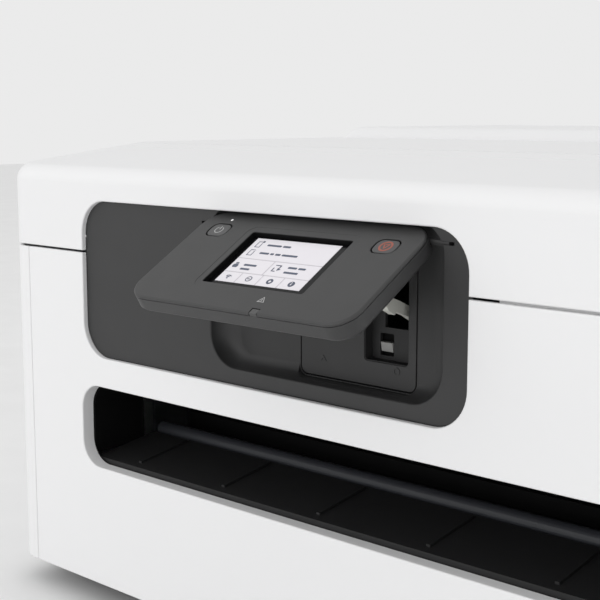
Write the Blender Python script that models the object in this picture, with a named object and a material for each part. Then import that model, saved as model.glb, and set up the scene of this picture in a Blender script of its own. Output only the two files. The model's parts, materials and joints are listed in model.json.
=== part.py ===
"""Desktop roll-fed inkjet printer with a tilting touch panel, modelled as an assembly.

Frame: origin on the ground under the middle of the printer, open panel included; +X is to the right of
someone facing the front, -Y the front, +Z up. Sizes are in millimetres. Y is measured from the middle of
the case, which is moved back by CASE_SHIFT at the end; meshes are in metres.
"""

import math

import bmesh
import bpy
from mathutils import Matrix, Vector

MM = 0.001
GAP = 0.3                     # clearance between touching pieces
FLOOR_Z = 15.6                # the mechanism stands on the base pan at this height

# Driving dimensions of the case
WIDTH, DEPTH, HEIGHT = 968.0, 525.0, 285.0
CASE_SHIFT = 28.5             # half of the open panel's reach in front of the case
LEFT, RIGHT = -WIDTH / 2, WIDTH / 2
FRONT, REAR = -DEPTH / 2, DEPTH / 2
WALL = 3.0
CORNER = 18.0                 # radius of the vertical corners, seen from above
SEAM_X = 462.0                # side covers meet the front and rear covers here
SKIRT_Z = 15.0                # lower edge of the outer covers
PART_Z0, PART_Z1 = 215.0, 217.0   # horizontal parting gap below the lids
LID_SPLIT = 227.0             # access lid to the left, ink tank lid to the right
LID_REAR = 50.0
ROLL_LID_FRONT = 53.5
TOP_Z = 277.0                 # flat top of the two front lids
LID_HINGE_Y, LID_HINGE_Z = 48.0, 275.0
ROLL_HINGE_Y, ROLL_HINGE_Z = 258.0, 223.0
FLAP_L, FLAP_R, FLAP_Y0, FLAP_Y1 = -261.0, 75.0, 70.0, 112.0

# Paper path
PAPER_L, PAPER_R = -401.0, 215.0
OUT_L, OUT_R, OUT_Z0, OUT_Z1, OUT_CORNER = -411.0, 225.0, 88.0, 138.0, 15.0
OUT_RETURN = 8.0              # depth of the front cover's return wall round the outlet
FRAME_L, FRAME_R = -445.0, 327.0
FEED_Y, FEED_Z, FEED_R = -95.0, 103.0, 9.0
PINCH_R = 5.0
EJECT_Y, EJECT_Z, EJECT_R = -203.0, 99.0, 4.5
RAIL_FRONT = -108.0
BELT_Z, PULLEY_R = 184.0, 6.0
BELT_Y0, BELT_Y1 = -116.5, -110.5
IDLER_X, DRIVE_X = -425.0, 312.0
HOME_X = 268.0                # carriage centre at its parking place
SPOOL_Y, SPOOL_Z, SPOOL_R = 150.0, 150.0, 12.0

# Control area: a dark housing in a rounded opening, with a basin that holds the tilting panel
BEZEL_L, BEZEL_R, BEZEL_Z0, BEZEL_Z1, BEZEL_CORNER = -409.0, -133.0, 154.0, 247.0, 20.0
HOUSING_Y = FRONT + 3.0       # the housing's face lies this deep
BASIN_L, BASIN_R, BASIN_Z0, BASIN_Z1 = -302.0, -149.5, 163.0, 248.0   # open at the top
BASIN_Y = FRONT + 14.0        # basin floor
BASIN_CORNER, BASIN_TOP_CORNER = 18.0, 16.0
PLATE_L, PLATE_R, PLATE_Z0, PLATE_Z1 = -246.0, -172.5, 165.0, 227.0
WINDOW_L, WINDOW_R, WINDOW_Z0, WINDOW_Z1 = -204.0, -177.5, 177.5, 219.0
POCKET_DEPTH = 6.0
ARM_HOLE_Z0, ARM_HOLE_Z1 = 193.5, 222.5   # the arm's way through the pocket's back
SLOT_L, SLOT_R, SLOT_Z0, SLOT_Z1 = -199.0, -190.5, 179.5, 190.5

# Tilting panel, drawn closed (upright) and then turned about its hinge
PANEL_L, PANEL_R = -300.0, -155.0
PANEL_H = 73.4
HINGE_Y, HINGE_Z = FRONT + 4.6, 238.9
PANEL_FACE = HINGE_Y - 5.2    # front surface when closed
PANEL_TOP = HINGE_Z + 4.2
PANEL_T0, PANEL_T1 = 9.0, 12.0    # thickness at the top and at the bottom
PANEL_CORNER = 13.0
PIN_INSET = 12.0              # the pins reach this far into the panel's ends
SHELL_SPLIT = 5.5             # depth of the front shell
SHELL_T = 2.0
PIN_R, PIN_BORE_R = 1.5, 1.8
TILT = math.radians(59)
SCREEN_L, SCREEN_R, SCREEN_V0, SCREEN_V1 = -258.5, -193.5, 15.4, 55.7
BUTTON_W, BUTTON_H, BUTTON_CORNER, BUTTON_GAP = 13.0, 9.8, 4.2, 0.7
POWER_X, POWER_V = -283.0, 15.9
STOP_X, STOP_V = -172.8, 16.9
LAMP_X, LAMP_W, LAMP_V = -210.0, 4.6, 70.0
ARM_X, ARM_W, ARM_Z = -184.0, 4.0, 205.0

# Ink tanks
TANKS = ("black", "cyan", "magenta", "yellow")
TANK_X0, TANK_PITCH, TANK_W = 238.0, 60.5, 57.0
TANK_Y0, TANK_Y1, TANK_Z0, TANK_Z1 = -252.0, -185.0, 60.0, 185.0
SPOUT_R, SPOUT_H = 9.0, 8.0
CAP_HINGE_Y = -196.0
INK_PANE_L, INK_PANE_R, INK_PANE_Z0, INK_PANE_Z1 = 240.0, 456.0, 72.0, 172.0

# Print mechanism
FRAME_T = 2.5                 # side plates and rail
RAIL_BACK, RAIL_Z0, RAIL_Z1 = -66.0, 132.0, 200.0
HEAD_Y0, HEAD_Y1, HEAD_Z = -176.0, -128.0, 112.6
MODULE, GEAR_TEETH, PINION_TEETH = 1.25, 40, 12
MESH_GAP = 0.25               # extra centre distance that gives the gears backlash
FLANGE_R, HUB_R = 55.0, 24.0  # end discs of the paper roll

# Openings in the rear and right covers
INLET_L, INLET_R, INLET_Z0, INLET_Z1 = 399.0, 431.0, 49.0, 73.0
CARTRIDGE_Y0, CARTRIDGE_Y1, CARTRIDGE_Z0, CARTRIDGE_Z1 = -149.0, -71.0, 42.0, 99.0


def material(name, colour, roughness, metallic=0.0):
    """A Principled material, made once for each name."""
    found = bpy.data.materials.get(name)
    if found:
        return found
    made = bpy.data.materials.new(name)
    made.use_nodes = True
    shader = made.node_tree.nodes["Principled BSDF"]
    shader.inputs["Base Color"].default_value = (*colour, 1.0)
    shader.inputs["Roughness"].default_value = roughness
    shader.inputs["Metallic"].default_value = metallic
    return made


def white():
    return material("white_cover", (0.84, 0.84, 0.84), 0.35)


def charcoal():
    return material("charcoal_plastic", (0.075, 0.075, 0.078), 0.5)


def black():
    return material("black_plastic", (0.012, 0.012, 0.013), 0.55)


def light_grey():
    return material("light_grey_plastic", (0.45, 0.45, 0.42), 0.45)


def steel():
    return material("steel", (0.6, 0.6, 0.62), 0.3, 1.0)


def rubber():
    return material("rubber", (0.03, 0.03, 0.03), 0.8)


def rect(a0, a1, b0, b1):
    return [(a0, b0), (a1, b0), (a1, b1), (a0, b1)]


def rounded(a0, a1, b0, b1, radius, steps=5):
    """Rounded rectangle, counter-clockwise. radius is a number, or one for each corner from (a0, b0) on."""
    radii = radius if isinstance(radius, tuple) else (radius,) * 4
    corners = [(a0, b0, 180), (a1, b0, 270), (a1, b1, 0), (a0, b1, 90)]
    points = []
    for (a, b, start), r in zip(corners, radii):
        if r <= 0:
            points.append((a, b))
            continue
        centre_a = a + r if a == a0 else a - r
        centre_b = b + r if b == b0 else b - r
        for k in range(steps + 1):
            t = math.radians(start + 90 * k / steps)
            points.append((centre_a + r * math.cos(t), centre_b + r * math.sin(t)))
    return points


def circle(a, b, radius, steps=24):
    turn = 2 * math.pi / steps
    return [(a + radius * math.cos(turn * k), b + radius * math.sin(turn * k)) for k in range(steps)]


def place(axis, height, point):
    """The 3-D point of a 2-D outline point: outlines are (y, z), (x, z) or (x, y) for axis x, y or z."""
    a, b = point
    return {"x": (height, a, b), "y": (a, height, b), "z": (a, b, height)}[axis]


def case_origin():
    """The empty at the middle of the case, which every piece hangs from."""
    found = bpy.data.objects.get("case_origin")
    if found:
        return found
    made = bpy.data.objects.new("case_origin", None)
    bpy.context.scene.collection.objects.link(made)
    made.location.y = CASE_SHIFT * MM
    return made


def loft(name, axis, sections, shade=None, colour=None):
    """A closed solid through sections [(height, outline), ...] along an axis, with equal point counts."""
    bm = bmesh.new()
    rings = []
    for height, outline in sections:
        rings.append([bm.verts.new(Vector(place(axis, height, p)) * MM) for p in outline])
    for low, high in zip(rings, rings[1:]):
        for k in range(len(low)):
            n = (k + 1) % len(low)
            bm.faces.new((low[k], low[n], high[n], high[k]))
    bm.faces.new(rings[0])
    bm.faces.new(rings[-1])
    bmesh.ops.recalc_face_normals(bm, faces=bm.faces)
    mesh = bpy.data.meshes.new(name)
    bm.to_mesh(mesh)
    bm.free()
    if shade:
        mesh.shade_smooth()
        mesh.set_sharp_from_angle(angle=math.radians(shade))
    obj = bpy.data.objects.new(name, mesh)
    bpy.context.scene.collection.objects.link(obj)
    obj.parent = case_origin()
    if colour:
        mesh.materials.append(colour)
    return obj


def prism(name, axis, low, high, outline, colour=None, shade=30):
    return loft(name, axis, [(low, outline), (high, outline)], shade, colour)


def block(name, x, y, z, colour=None):
    return prism(name, "z", z[0], z[1], rect(*x, *y), colour)


def pivoted(obj, x, y, z):
    """Puts a moving piece's origin on its joint's axis, leaving the piece where it is."""
    pivot = Vector((x, y, z)) * MM
    obj.data.transform(Matrix.Translation(-pivot))
    obj.location = pivot
    return obj


def helper(obj):
    """Hides a cutter or a joined piece, which only shapes another object."""
    obj.hide_render = True
    obj.display_type = "WIRE"
    return obj


def boolean(obj, other, operation):
    helper(other)
    modifier = obj.modifiers.new(operation.title(), "BOOLEAN")
    modifier.operation = operation
    modifier.object = other
    modifier.solver = "EXACT"
    return obj


def cut(obj, *others):
    for other in others:
        boolean(obj, other, "DIFFERENCE")
    return obj


def join(obj, *others):
    for other in others:
        boolean(obj, other, "UNION")
    return obj


def rod(name, axis, low, high, a, b, radius, colour, steps=24):
    return prism(name, axis, low, high, circle(a, b, radius, steps), colour)


# ---------------------------------------------------------------- case

def feet():
    radius, height, inset = 15.0, 12.0, 52.0
    for side_x, x in (("left", LEFT + inset), ("right", RIGHT - inset)):
        for side_y, y in (("front", FRONT + inset), ("rear", REAR - inset)):
            foot = [(0.0, circle(x, y, radius - 2)), (2.0, circle(x, y, radius)),
                    (height, circle(x, y, radius))]
            loft(f"foot_{side_y}_{side_x}", "z", foot, 30, rubber())


def base_pan():
    floor, rim = 12.3, 34.0
    edge_x, edge_y = RIGHT - 6, REAR - 6
    pan = prism("base_pan", "z", floor, rim, rounded(-edge_x, edge_x, -edge_y, edge_y, CORNER - 5),
                charcoal())
    inner = rounded(-edge_x + WALL, edge_x - WALL, -edge_y + WALL, edge_y - WALL, CORNER - 8)
    cut(pan, prism("pan_hollow", "z", floor + WALL, rim + 5, inner))
    for k in range(len(TANKS) + 1):
        x = TANK_X0 - 1.75 + TANK_PITCH * k
        join(pan, block(f"tank_support_{k}", (x - 1.5, x + 1.5), (TANK_Y0 + 2, TANK_Y1),
                        (floor + 1, TANK_Z0 - GAP)))
    return pan


def side_cover(name, sign):
    """A side shell with its two rounded corners, as a C seen from above."""
    outer = rounded(LEFT, RIGHT, FRONT, REAR, CORNER)
    inner = rounded(LEFT + WALL, RIGHT - WALL, FRONT + WALL, REAR - WALL, CORNER - WALL)
    cover = prism(name, "z", SKIRT_Z, PART_Z0, outer, white())
    cut(cover, prism(name + "_hollow", "z", SKIRT_Z - 5, PART_Z0 + 5, inner))
    reach = (-RIGHT - 10, SEAM_X) if sign > 0 else (-SEAM_X, RIGHT + 10)
    return cut(cover, block(name + "_trim", reach, (FRONT - 10, REAR + 10), (SKIRT_Z - 5, PART_Z0 + 5)))


def front_cover():
    edge = SEAM_X - GAP
    cover = block("front_cover", (-edge, edge), (FRONT, FRONT + WALL), (SKIRT_Z, PART_Z0), white())
    ring = rounded(OUT_L - 3, OUT_R + 3, OUT_Z0 - 3, OUT_Z1 + 3, OUT_CORNER + 3)
    join(cover, prism("outlet_ring", "y", FRONT + 1, FRONT + OUT_RETURN, ring))
    hole = rounded(OUT_L, OUT_R, OUT_Z0, OUT_Z1, OUT_CORNER)
    cut(cover, prism("outlet_hole", "y", FRONT - 5, FRONT + OUT_RETURN + 5, hole))
    notch = rounded(BEZEL_L, BEZEL_R, BEZEL_Z0, BEZEL_Z1, BEZEL_CORNER)
    cut(cover, prism("bezel_notch", "y", FRONT - 5, FRONT + 8, notch))
    pane = rounded(INK_PANE_L, INK_PANE_R, INK_PANE_Z0, INK_PANE_Z1, 8)
    return cut(cover, prism("window_hole", "y", FRONT - 5, FRONT + 8, pane))


def ink_window():
    pane = rounded(INK_PANE_L + GAP, INK_PANE_R - GAP, INK_PANE_Z0 + GAP, INK_PANE_Z1 - GAP, 8 - GAP)
    smoked = material("smoked_clear", (0.08, 0.08, 0.09), 0.1)
    return prism("ink_window", "y", FRONT + 0.4, FRONT + 2.4, pane, smoked)


def rear_cover():
    edge = SEAM_X - GAP
    cover = block("rear_cover", (-edge, edge), (REAR - WALL, REAR), (SKIRT_Z, PART_Z0), white())
    inlet = rounded(INLET_L - 1, INLET_R + 1, INLET_Z0 - 1, INLET_Z1 + 1, 3)
    return cut(cover, prism("inlet_hole", "y", REAR - 8, REAR + 5, inlet))


def lid_profile(inset):
    """Side outline of the front lids, (y, z): upright lip, rounded edge, rising top, flat top."""
    front, low = FRONT + inset, PART_Z1 - (10 if inset else 0)
    rear = LID_REAR - inset
    points = [(rear, low), (rear, TOP_Z - inset), (-162.0, TOP_Z - 0.5 - inset)]
    radius, centre_y, centre_z = 9.0 - inset, FRONT + 9.0, 255.2
    points.append((centre_y, centre_z + radius + 0.7))
    for k in range(1, 6):
        t = math.radians(90 + 90 * k / 5)
        points.append((centre_y + radius * math.cos(t), centre_z + radius * math.sin(t)))
    points.append((front, low))
    return points


def front_lid(name, x0, x1, corners):
    """One of the two front lids: a shell with a plan outline and the shared side outline."""
    lid = prism(name, "z", PART_Z1, HEIGHT, rounded(x0, x1, FRONT, LID_REAR, corners), white())
    boolean(lid, prism(name + "_profile", "x", x0 - 5, x1 + 5, lid_profile(0)), "INTERSECT")
    inner = tuple(max(0, r - WALL) for r in corners)
    hollow = prism(name + "_hollow", "z", PART_Z1 - 5, HEIGHT,
                   rounded(x0 + WALL, x1 - WALL, FRONT + WALL, LID_REAR - WALL, inner))
    boolean(hollow, prism(name + "_hollow_profile", "x", x0 - 5, x1 + 5, lid_profile(WALL)), "INTERSECT")
    cut(lid, hollow)
    # The lips beside the other lid and at the rear stop well above the machine.
    lip_z = TOP_Z - 14
    cut(lid, block(name + "_rear_trim", (x0 + WALL, x1 - WALL), (LID_REAR - 8, LID_REAR + 5),
                   (PART_Z1 - 5, lip_z)))
    return lid


def top_cover():
    lid = front_lid("top_cover", LEFT, LID_SPLIT - 1, (CORNER, 0, 0, 0))
    notch = rounded(BEZEL_L, BEZEL_R, BEZEL_Z0, BEZEL_Z1, BEZEL_CORNER)
    cut(lid, prism("lid_bezel_notch", "y", FRONT - 5, FRONT + 8, notch))
    side = block("top_cover_side_trim", (LID_SPLIT - 9, LID_SPLIT + 5), (FRONT + 6, LID_REAR - 3),
                 (PART_Z1 - 5, 255))
    return pivoted(cut(lid, side), 0, LID_HINGE_Y, LID_HINGE_Z)


def ink_tank_lid():
    lid = front_lid("ink_tank_lid", LID_SPLIT + 1, RIGHT, (0, CORNER, 0, 0))
    side = block("tank_lid_side_trim", (LID_SPLIT - 5, LID_SPLIT + 9), (FRONT + 6, LID_REAR - 3),
                 (PART_Z1 - 5, 255))
    return pivoted(cut(lid, side), 0, LID_HINGE_Y, LID_HINGE_Z)


def roll_profile(inset):
    """Side outline of the roll lid, (y, z): low step at the front, flat top, round rear shoulder."""
    low = PART_Z1 - (10 if inset else 0)
    shoulder, front = 26.0, ROLL_LID_FRONT + inset
    radius, centre = shoulder - inset, (REAR - shoulder, HEIGHT - shoulder)
    points = [(front, low), (REAR - inset, low)]
    for k in range(7):
        t = math.radians(90 * k / 6)
        points.append((centre[0] + radius * math.cos(t), centre[1] + radius * math.sin(t)))
    points += [(ROLL_LID_FRONT + 9, HEIGHT - inset), (front, HEIGHT - 6 - inset)]
    return points


def roll_cover():
    """Rear lid over the paper roll, with the cut-sheet slot that the flap covers."""
    plan = rounded(LEFT, RIGHT, ROLL_LID_FRONT, REAR, (0, 0, CORNER, CORNER))
    lid = prism("roll_cover", "z", PART_Z1, HEIGHT, plan, white())
    boolean(lid, prism("roll_profile", "x", LEFT - 5, RIGHT + 5, roll_profile(0)), "INTERSECT")
    inner = rounded(LEFT + WALL, RIGHT - WALL, ROLL_LID_FRONT + WALL, REAR - WALL,
                    (0, 0, CORNER - WALL, CORNER - WALL))
    hollow = prism("roll_hollow", "z", PART_Z1 - 5, HEIGHT, inner)
    boolean(hollow, prism("roll_hollow_profile", "x", LEFT - 5, RIGHT + 5, roll_profile(WALL)), "INTERSECT")
    cut(lid, hollow)
    cut(lid, block("roll_front_trim", (LEFT + WALL, RIGHT - WALL), (ROLL_LID_FRONT - 5, ROLL_LID_FRONT + 8),
                   (PART_Z1 - 5, TOP_Z - 14)))
    join(lid, block("sheet_chute", (FLAP_L - 2, FLAP_R + 2), (FLAP_Y0 - 2, FLAP_Y1 + 2),
                    (HEIGHT - 17, HEIGHT - 1)))
    cut(lid, block("sheet_slot_hole", (FLAP_L, FLAP_R), (FLAP_Y0, FLAP_Y1), (HEIGHT - 25, HEIGHT + 5)))
    return pivoted(lid, 0, ROLL_HINGE_Y, ROLL_HINGE_Z)


def sheet_feed_flap():
    edge = rounded(FLAP_L + 2 * GAP, FLAP_R - 2 * GAP, FLAP_Y0 + 2 * GAP, FLAP_Y1 - 1, 2)
    flap = prism("sheet_feed_flap", "z", HEIGHT - WALL, HEIGHT, edge, white())
    middle = (FLAP_L + FLAP_R) / 2
    grip = rect(FLAP_Y0, FLAP_Y0 + 6, HEIGHT - 1.2, HEIGHT + 2)
    cut(flap, prism("flap_grip", "x", middle - 20, middle + 20, grip))
    return pivoted(flap, 0, FLAP_Y1 - 2.8, HEIGHT - 1.5)


# ---------------------------------------------------------------- paper outlet

def outlet_liner():
    """Black tunnel behind the outlet: two cheeks and a ceiling."""
    outer = rounded(OUT_L - 3, OUT_R + 3, OUT_Z0 - 2, OUT_Z1 + 3, OUT_CORNER + 3)
    liner = prism("outlet_liner", "y", FRONT + OUT_RETURN + GAP, FRONT + 46, outer, black())
    inner = rounded(OUT_L + 0.5, OUT_R - 0.5, OUT_Z0 - 20, OUT_Z1 - 0.5, OUT_CORNER)
    return cut(liner, prism("liner_hollow", "y", FRONT, FRONT + 60, inner))


def output_tray():
    """Ribbed ramp that the print slides down, rising to the rear."""
    slope = [(FRONT + 9, 80.0), (FRONT + 53, 80.0), (FRONT + 53, 98.0), (FRONT + 9, 91.0)]
    tray = prism("output_tray", "x", OUT_L + 2, OUT_R - 2, slope, black())
    relief = [(FRONT + 4, 60.0), (FRONT + 49, 60.0), (FRONT + 49, 94.0), (FRONT + 12, 88.0),
              (FRONT + 12, 60.0)]
    cut(tray, prism("tray_relief", "x", OUT_L + 8, OUT_R - 8, relief))
    ribs, span = 9, OUT_R - OUT_L - 70
    for k in range(ribs):
        x = OUT_L + 35 + span * k / (ribs - 1)
        rib = [(FRONT + 14, 90.5), (FRONT + 50, 96.5), (FRONT + 50, 99.0), (FRONT + 14, 93.0)]
        join(tray, prism(f"tray_rib_{k}", "x", x - 1.2, x + 1.2, rib))
    return tray


# ---------------------------------------------------------------- control housing

def basin_outline(shrink):
    low_corner = BASIN_CORNER - shrink
    return rounded(BASIN_L + shrink, BASIN_R - shrink, BASIN_Z0 + shrink * 0.6, BASIN_Z1,
                   (low_corner, low_corner, BASIN_TOP_CORNER, BASIN_TOP_CORNER), 6)


def control_housing():
    """Dark face with a dished basin; the service plate fills an opening in the basin floor."""
    edge = rounded(BEZEL_L + GAP, BEZEL_R - GAP, BEZEL_Z0 + GAP, BEZEL_Z1 - GAP, BEZEL_CORNER - GAP)
    housing = prism("control_housing", "y", HOUSING_Y, HOUSING_Y + WALL, edge, charcoal())
    back = rounded(BASIN_L - 5, BASIN_R + 5, BASIN_Z0 - 4, BEZEL_Z1 - GAP, 14)
    join(housing, prism("basin_block", "y", HOUSING_Y + 1, BASIN_Y + WALL, back))
    dish = [(HOUSING_Y - 4, basin_outline(0)), (HOUSING_Y, basin_outline(0)),
            (HOUSING_Y + 5, basin_outline(1.6)), (HOUSING_Y + 9, basin_outline(4.6)),
            (BASIN_Y, basin_outline(9.5))]
    cut(housing, loft("basin_dish", "y", dish))
    opening = rounded(PLATE_L - GAP, PLATE_R + GAP, PLATE_Z0 - GAP, PLATE_Z1 + GAP, 4)
    cut(housing, prism("plate_opening", "y", HOUSING_Y, BASIN_Y + 8, opening))
    bores = [rod(f"pin_bore_{k}", "x", x0, x1, HINGE_Y, HINGE_Z, PIN_BORE_R, None, 16)
             for k, (x0, x1) in enumerate(((BASIN_L - 4, BASIN_L + 6), (BASIN_R - 6, BASIN_R + 4)))]
    return cut(housing, *bores)


def service_plate():
    """Plate under the panel, with the pocket that the stay arm and the release lever work in."""
    edge = rounded(PLATE_L, PLATE_R, PLATE_Z0, PLATE_Z1, 4)
    plate = prism("service_plate", "y", BASIN_Y, BASIN_Y + 2.5, edge, charcoal())
    back = rect(WINDOW_L - 2, WINDOW_R + 2, WINDOW_Z0 - 2, WINDOW_Z1 + 2)
    join(plate, prism("pocket_block", "y", BASIN_Y + 1, BASIN_Y + POCKET_DEPTH + 2, back))
    pocket = rounded(WINDOW_L, WINDOW_R, WINDOW_Z0, WINDOW_Z1, 1.5)
    cut(plate, prism("pocket", "y", BASIN_Y - 5, BASIN_Y + POCKET_DEPTH, pocket))
    arm_hole = rect(WINDOW_L + 8, WINDOW_R, ARM_HOLE_Z0, ARM_HOLE_Z1)
    cut(plate, prism("arm_hole", "y", BASIN_Y + 4, BASIN_Y + 15, arm_hole))
    slot = rounded(SLOT_L, SLOT_R, SLOT_Z0, SLOT_Z1, 0.8)
    return cut(plate, prism("lever_slot", "y", BASIN_Y, BASIN_Y + 15, slot))


def release_lever():
    """Thumb tab in the slot, with a flange behind the pocket floor that keeps it in."""
    floor = BASIN_Y + POCKET_DEPTH
    tab = block("release_lever", (SLOT_L + 0.6, SLOT_R - 0.6), (floor - 0.8, floor + 5),
                (SLOT_Z0 + 1.7, SLOT_Z0 + 6.7), light_grey())
    flange = block("lever_flange", (SLOT_L - 2, SLOT_R + 2), (floor + 2.5, floor + 4.5),
                   (SLOT_Z0 - 1.2, SLOT_Z1 + 0.8))
    return join(tab, flange)


# ---------------------------------------------------------------- tilting panel

def tilted(*objs):
    """Turns pieces drawn in the closed position to the panel's rest angle, with their origin on the hinge."""
    for obj in objs:
        pivoted(obj, 0, HINGE_Y, HINGE_Z)
        obj.rotation_euler.x = -TILT
    return objs[0]


def panel_outline(inset):
    return rounded(PANEL_L + inset, PANEL_R - inset, PANEL_TOP - PANEL_H + inset, PANEL_TOP - inset,
                   PANEL_CORNER - inset)


def at_v(v):
    """Height of a point v millimetres below the panel's top edge, in the closed position."""
    return PANEL_TOP - v


def button_outline(x, v, grow):
    w, h = BUTTON_W / 2 + grow, BUTTON_H / 2 + grow
    return rounded(x - w, x + w, at_v(v) - h, at_v(v) + h, BUTTON_CORNER + grow, 4)


def pin_bores(name):
    """Cutters for the hinge pins' seats in the panel's ends."""
    return [rod(f"{name}_pin_seat_{k}", "x", x0, x1, HINGE_Y, HINGE_Z, PIN_BORE_R, None, 16)
            for k, (x0, x1) in enumerate(((PANEL_L - 5, PANEL_L + PIN_INSET + 1),
                                          (PANEL_R - PIN_INSET - 1, PANEL_R + 5)))]


def panel_front_shell():
    face = PANEL_FACE
    outline = [(face, panel_outline(1.2)), (face + 0.6, panel_outline(0.35)), (face + 1.6, panel_outline(0)),
               (face + SHELL_SPLIT, panel_outline(0))]
    shell = loft("panel_front_shell", "y", outline, 30, charcoal())
    opening = rounded(SCREEN_L, SCREEN_R, at_v(SCREEN_V1), at_v(SCREEN_V0), 1)
    cutters = [prism("front_shell_hollow", "y", face + SHELL_T, face + SHELL_SPLIT + 5,
                     panel_outline(SHELL_T)),
               prism("screen_hole", "y", face - 5, face + 5, opening),
               prism("power_hole", "y", face - 5, face + 5, button_outline(POWER_X, POWER_V, BUTTON_GAP)),
               prism("stop_hole", "y", face - 5, face + 5, button_outline(STOP_X, STOP_V, BUTTON_GAP)),
               block("lamp_notch", (LAMP_X - LAMP_W / 2 - GAP, LAMP_X + LAMP_W / 2 + GAP),
                     (face - 5, face + 3.5),
                     (at_v(PANEL_H) - 5, at_v(LAMP_V) + 0.4))] + pin_bores("front")
    return tilted(cut(shell, *cutters), *cutters)


def panel_back_shell():
    """Wedge-shaped rear half with a rounded back edge, hollow towards the front shell."""
    face, split = PANEL_FACE, PANEL_FACE + SHELL_SPLIT + GAP
    sections = [(split, panel_outline(0)), (face + 8.2, panel_outline(0)), (face + 10, panel_outline(1.3)),
                (face + 11, panel_outline(2.4)), (face + PANEL_T1, panel_outline(4))]
    shell = loft("panel_back_shell", "y", sections, 30, charcoal())
    low, high = at_v(PANEL_H) - 5, at_v(0) + 5
    wedge = [(face + PANEL_T1 + 0.2, low), (face + PANEL_T1 + 8, low), (face + PANEL_T1 + 8, high),
             (face + PANEL_T0 - 0.2, high)]
    hollow = prism("back_shell_hollow", "y", split - 5, face + PANEL_T0 - SHELL_T + 0.3,
                   panel_outline(SHELL_T))
    cutters = [prism("back_wedge", "x", PANEL_L - 5, PANEL_R + 5, wedge), hollow] + pin_bores("back")
    return tilted(cut(shell, *cutters), *cutters)


def panel_pins():
    """Hinge pins carried by the panel's ends, running in the housing's bores."""
    for side, x0, x1 in (("left", BASIN_L - 3, PANEL_L + PIN_INSET),
                         ("right", PANEL_R - PIN_INSET, BASIN_R + 3)):
        pivoted(rod(f"panel_hinge_pin_{side}", "x", x0, x1, HINGE_Y, HINGE_Z, PIN_R, charcoal(), 16),
                0, HINGE_Y, HINGE_Z)


def touch_screen():
    face = PANEL_FACE + SHELL_T + GAP
    glass = material("screen", (0.75, 0.74, 0.76), 0.15)
    body = prism("touch_screen", "y", face, face + 3.6,
                 rounded(SCREEN_L - 3, SCREEN_R + 3, at_v(SCREEN_V1 + 3), at_v(SCREEN_V0 - 3), 1.5), glass)
    return tilted(body)


def button(name, x, v):
    """Key cap with a flange behind the face and a short stem."""
    face = PANEL_FACE
    cap = prism(name, "y", face + 0.1, face + 3.2, button_outline(x, v, 0), charcoal())
    flange = prism(name + "_flange", "y", face + 2.9, face + 4.3, button_outline(x, v, BUTTON_GAP + 0.8))
    join(cap, flange)
    return tilted(cap, flange)


def status_lamp():
    clear = material("light_guide", (0.3, 0.3, 0.3), 0.3)
    lamp = block("status_lamp", (LAMP_X - LAMP_W / 2, LAMP_X + LAMP_W / 2),
                 (PANEL_FACE + 0.1, PANEL_FACE + 3.1),
                 (at_v(PANEL_H) + 0.1, at_v(LAMP_V)), clear)
    return tilted(lamp)


def panel_back(v):
    """Point (y, z) just off the panel's back at its rest angle, v millimetres below the panel's top edge."""
    y = PANEL_FACE + PANEL_T0 + (PANEL_T1 - PANEL_T0) * v / PANEL_H + 2 * GAP - HINGE_Y
    z = at_v(v) - HINGE_Z
    return (HINGE_Y + y * math.cos(TILT) + z * math.sin(TILT),
            HINGE_Z - y * math.sin(TILT) + z * math.cos(TILT))


def panel_stay_arm():
    """Bent arm on the panel's back that slides through the pocket and catches the panel on its hook."""
    bends = [(0.0, 8.6), (13.5, 3.4), (19.5, 0.8), (31.0, -5.2), (30.0, -10.4), (19.5, -4.6),
             (10.9, -1.5), (9.8, -2.9), (5.3, -0.5), (3.6, 2.0), (-8.0, 6.0)]
    outline = [panel_back(39), panel_back(30)] + [(FRONT + y, ARM_Z + z) for y, z in bends]
    arm = prism("panel_stay_arm", "x", ARM_X - ARM_W / 2, ARM_X + ARM_W / 2, outline, light_grey())
    return pivoted(arm, 0, HINGE_Y, HINGE_Z)


# ---------------------------------------------------------------- print mechanism

def frame_plate(name, x):
    """Pressed side plate of the mechanism, with a window and the spool's open seat."""
    outline = [(-180, FLOOR_Z), (200, FLOOR_Z), (200, 190), (168, 206), (40, 206), (-60, 212), (-180, 180)]
    plate = prism(name, "x", x, x + FRAME_T, outline, steel())
    seat = rect(SPOOL_Y - 13, SPOOL_Y + 13, SPOOL_Z, 230)
    cutters = [prism(name + "_seat", "x", x - 5, x + 8, seat),
               rod(name + "_seat_round", "x", x - 5, x + 8, SPOOL_Y, SPOOL_Z, 13.0, None),
               prism(name + "_window", "x", x - 5, x + 8, rounded(-30, 60, 60, 120, 12)),
               rod(name + "_feed_bore", "x", x - 5, x + 8, FEED_Y, FEED_Z, 4.6, None)]
    return cut(plate, *cutters)


def main_rail():
    """Folded steel channel that guides the carriage."""
    y0, y1, z0, z1, t = RAIL_FRONT, RAIL_BACK, RAIL_Z0, RAIL_Z1, FRAME_T
    fold = [(y0, z0), (y1, z0), (y1, z0 + 22), (y1 - t, z0 + 22), (y1 - t, z0 + t), (y0 + t, z0 + t),
            (y0 + t, z1), (y0, z1)]
    rail = prism("main_rail", "x", FRAME_L + t + GAP, FRAME_R - GAP, fold, steel())
    motor_hole = rod("rail_motor_hole", "y", y0 - 5, y0 + 8, DRIVE_X, BELT_Z, 5.0, None)
    idler_hole = rod("rail_idler_hole", "y", y0 - 5, y0 + 8, IDLER_X, BELT_Z, 2.2, None, 16)
    return cut(rail, motor_hole, idler_hole)


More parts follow.
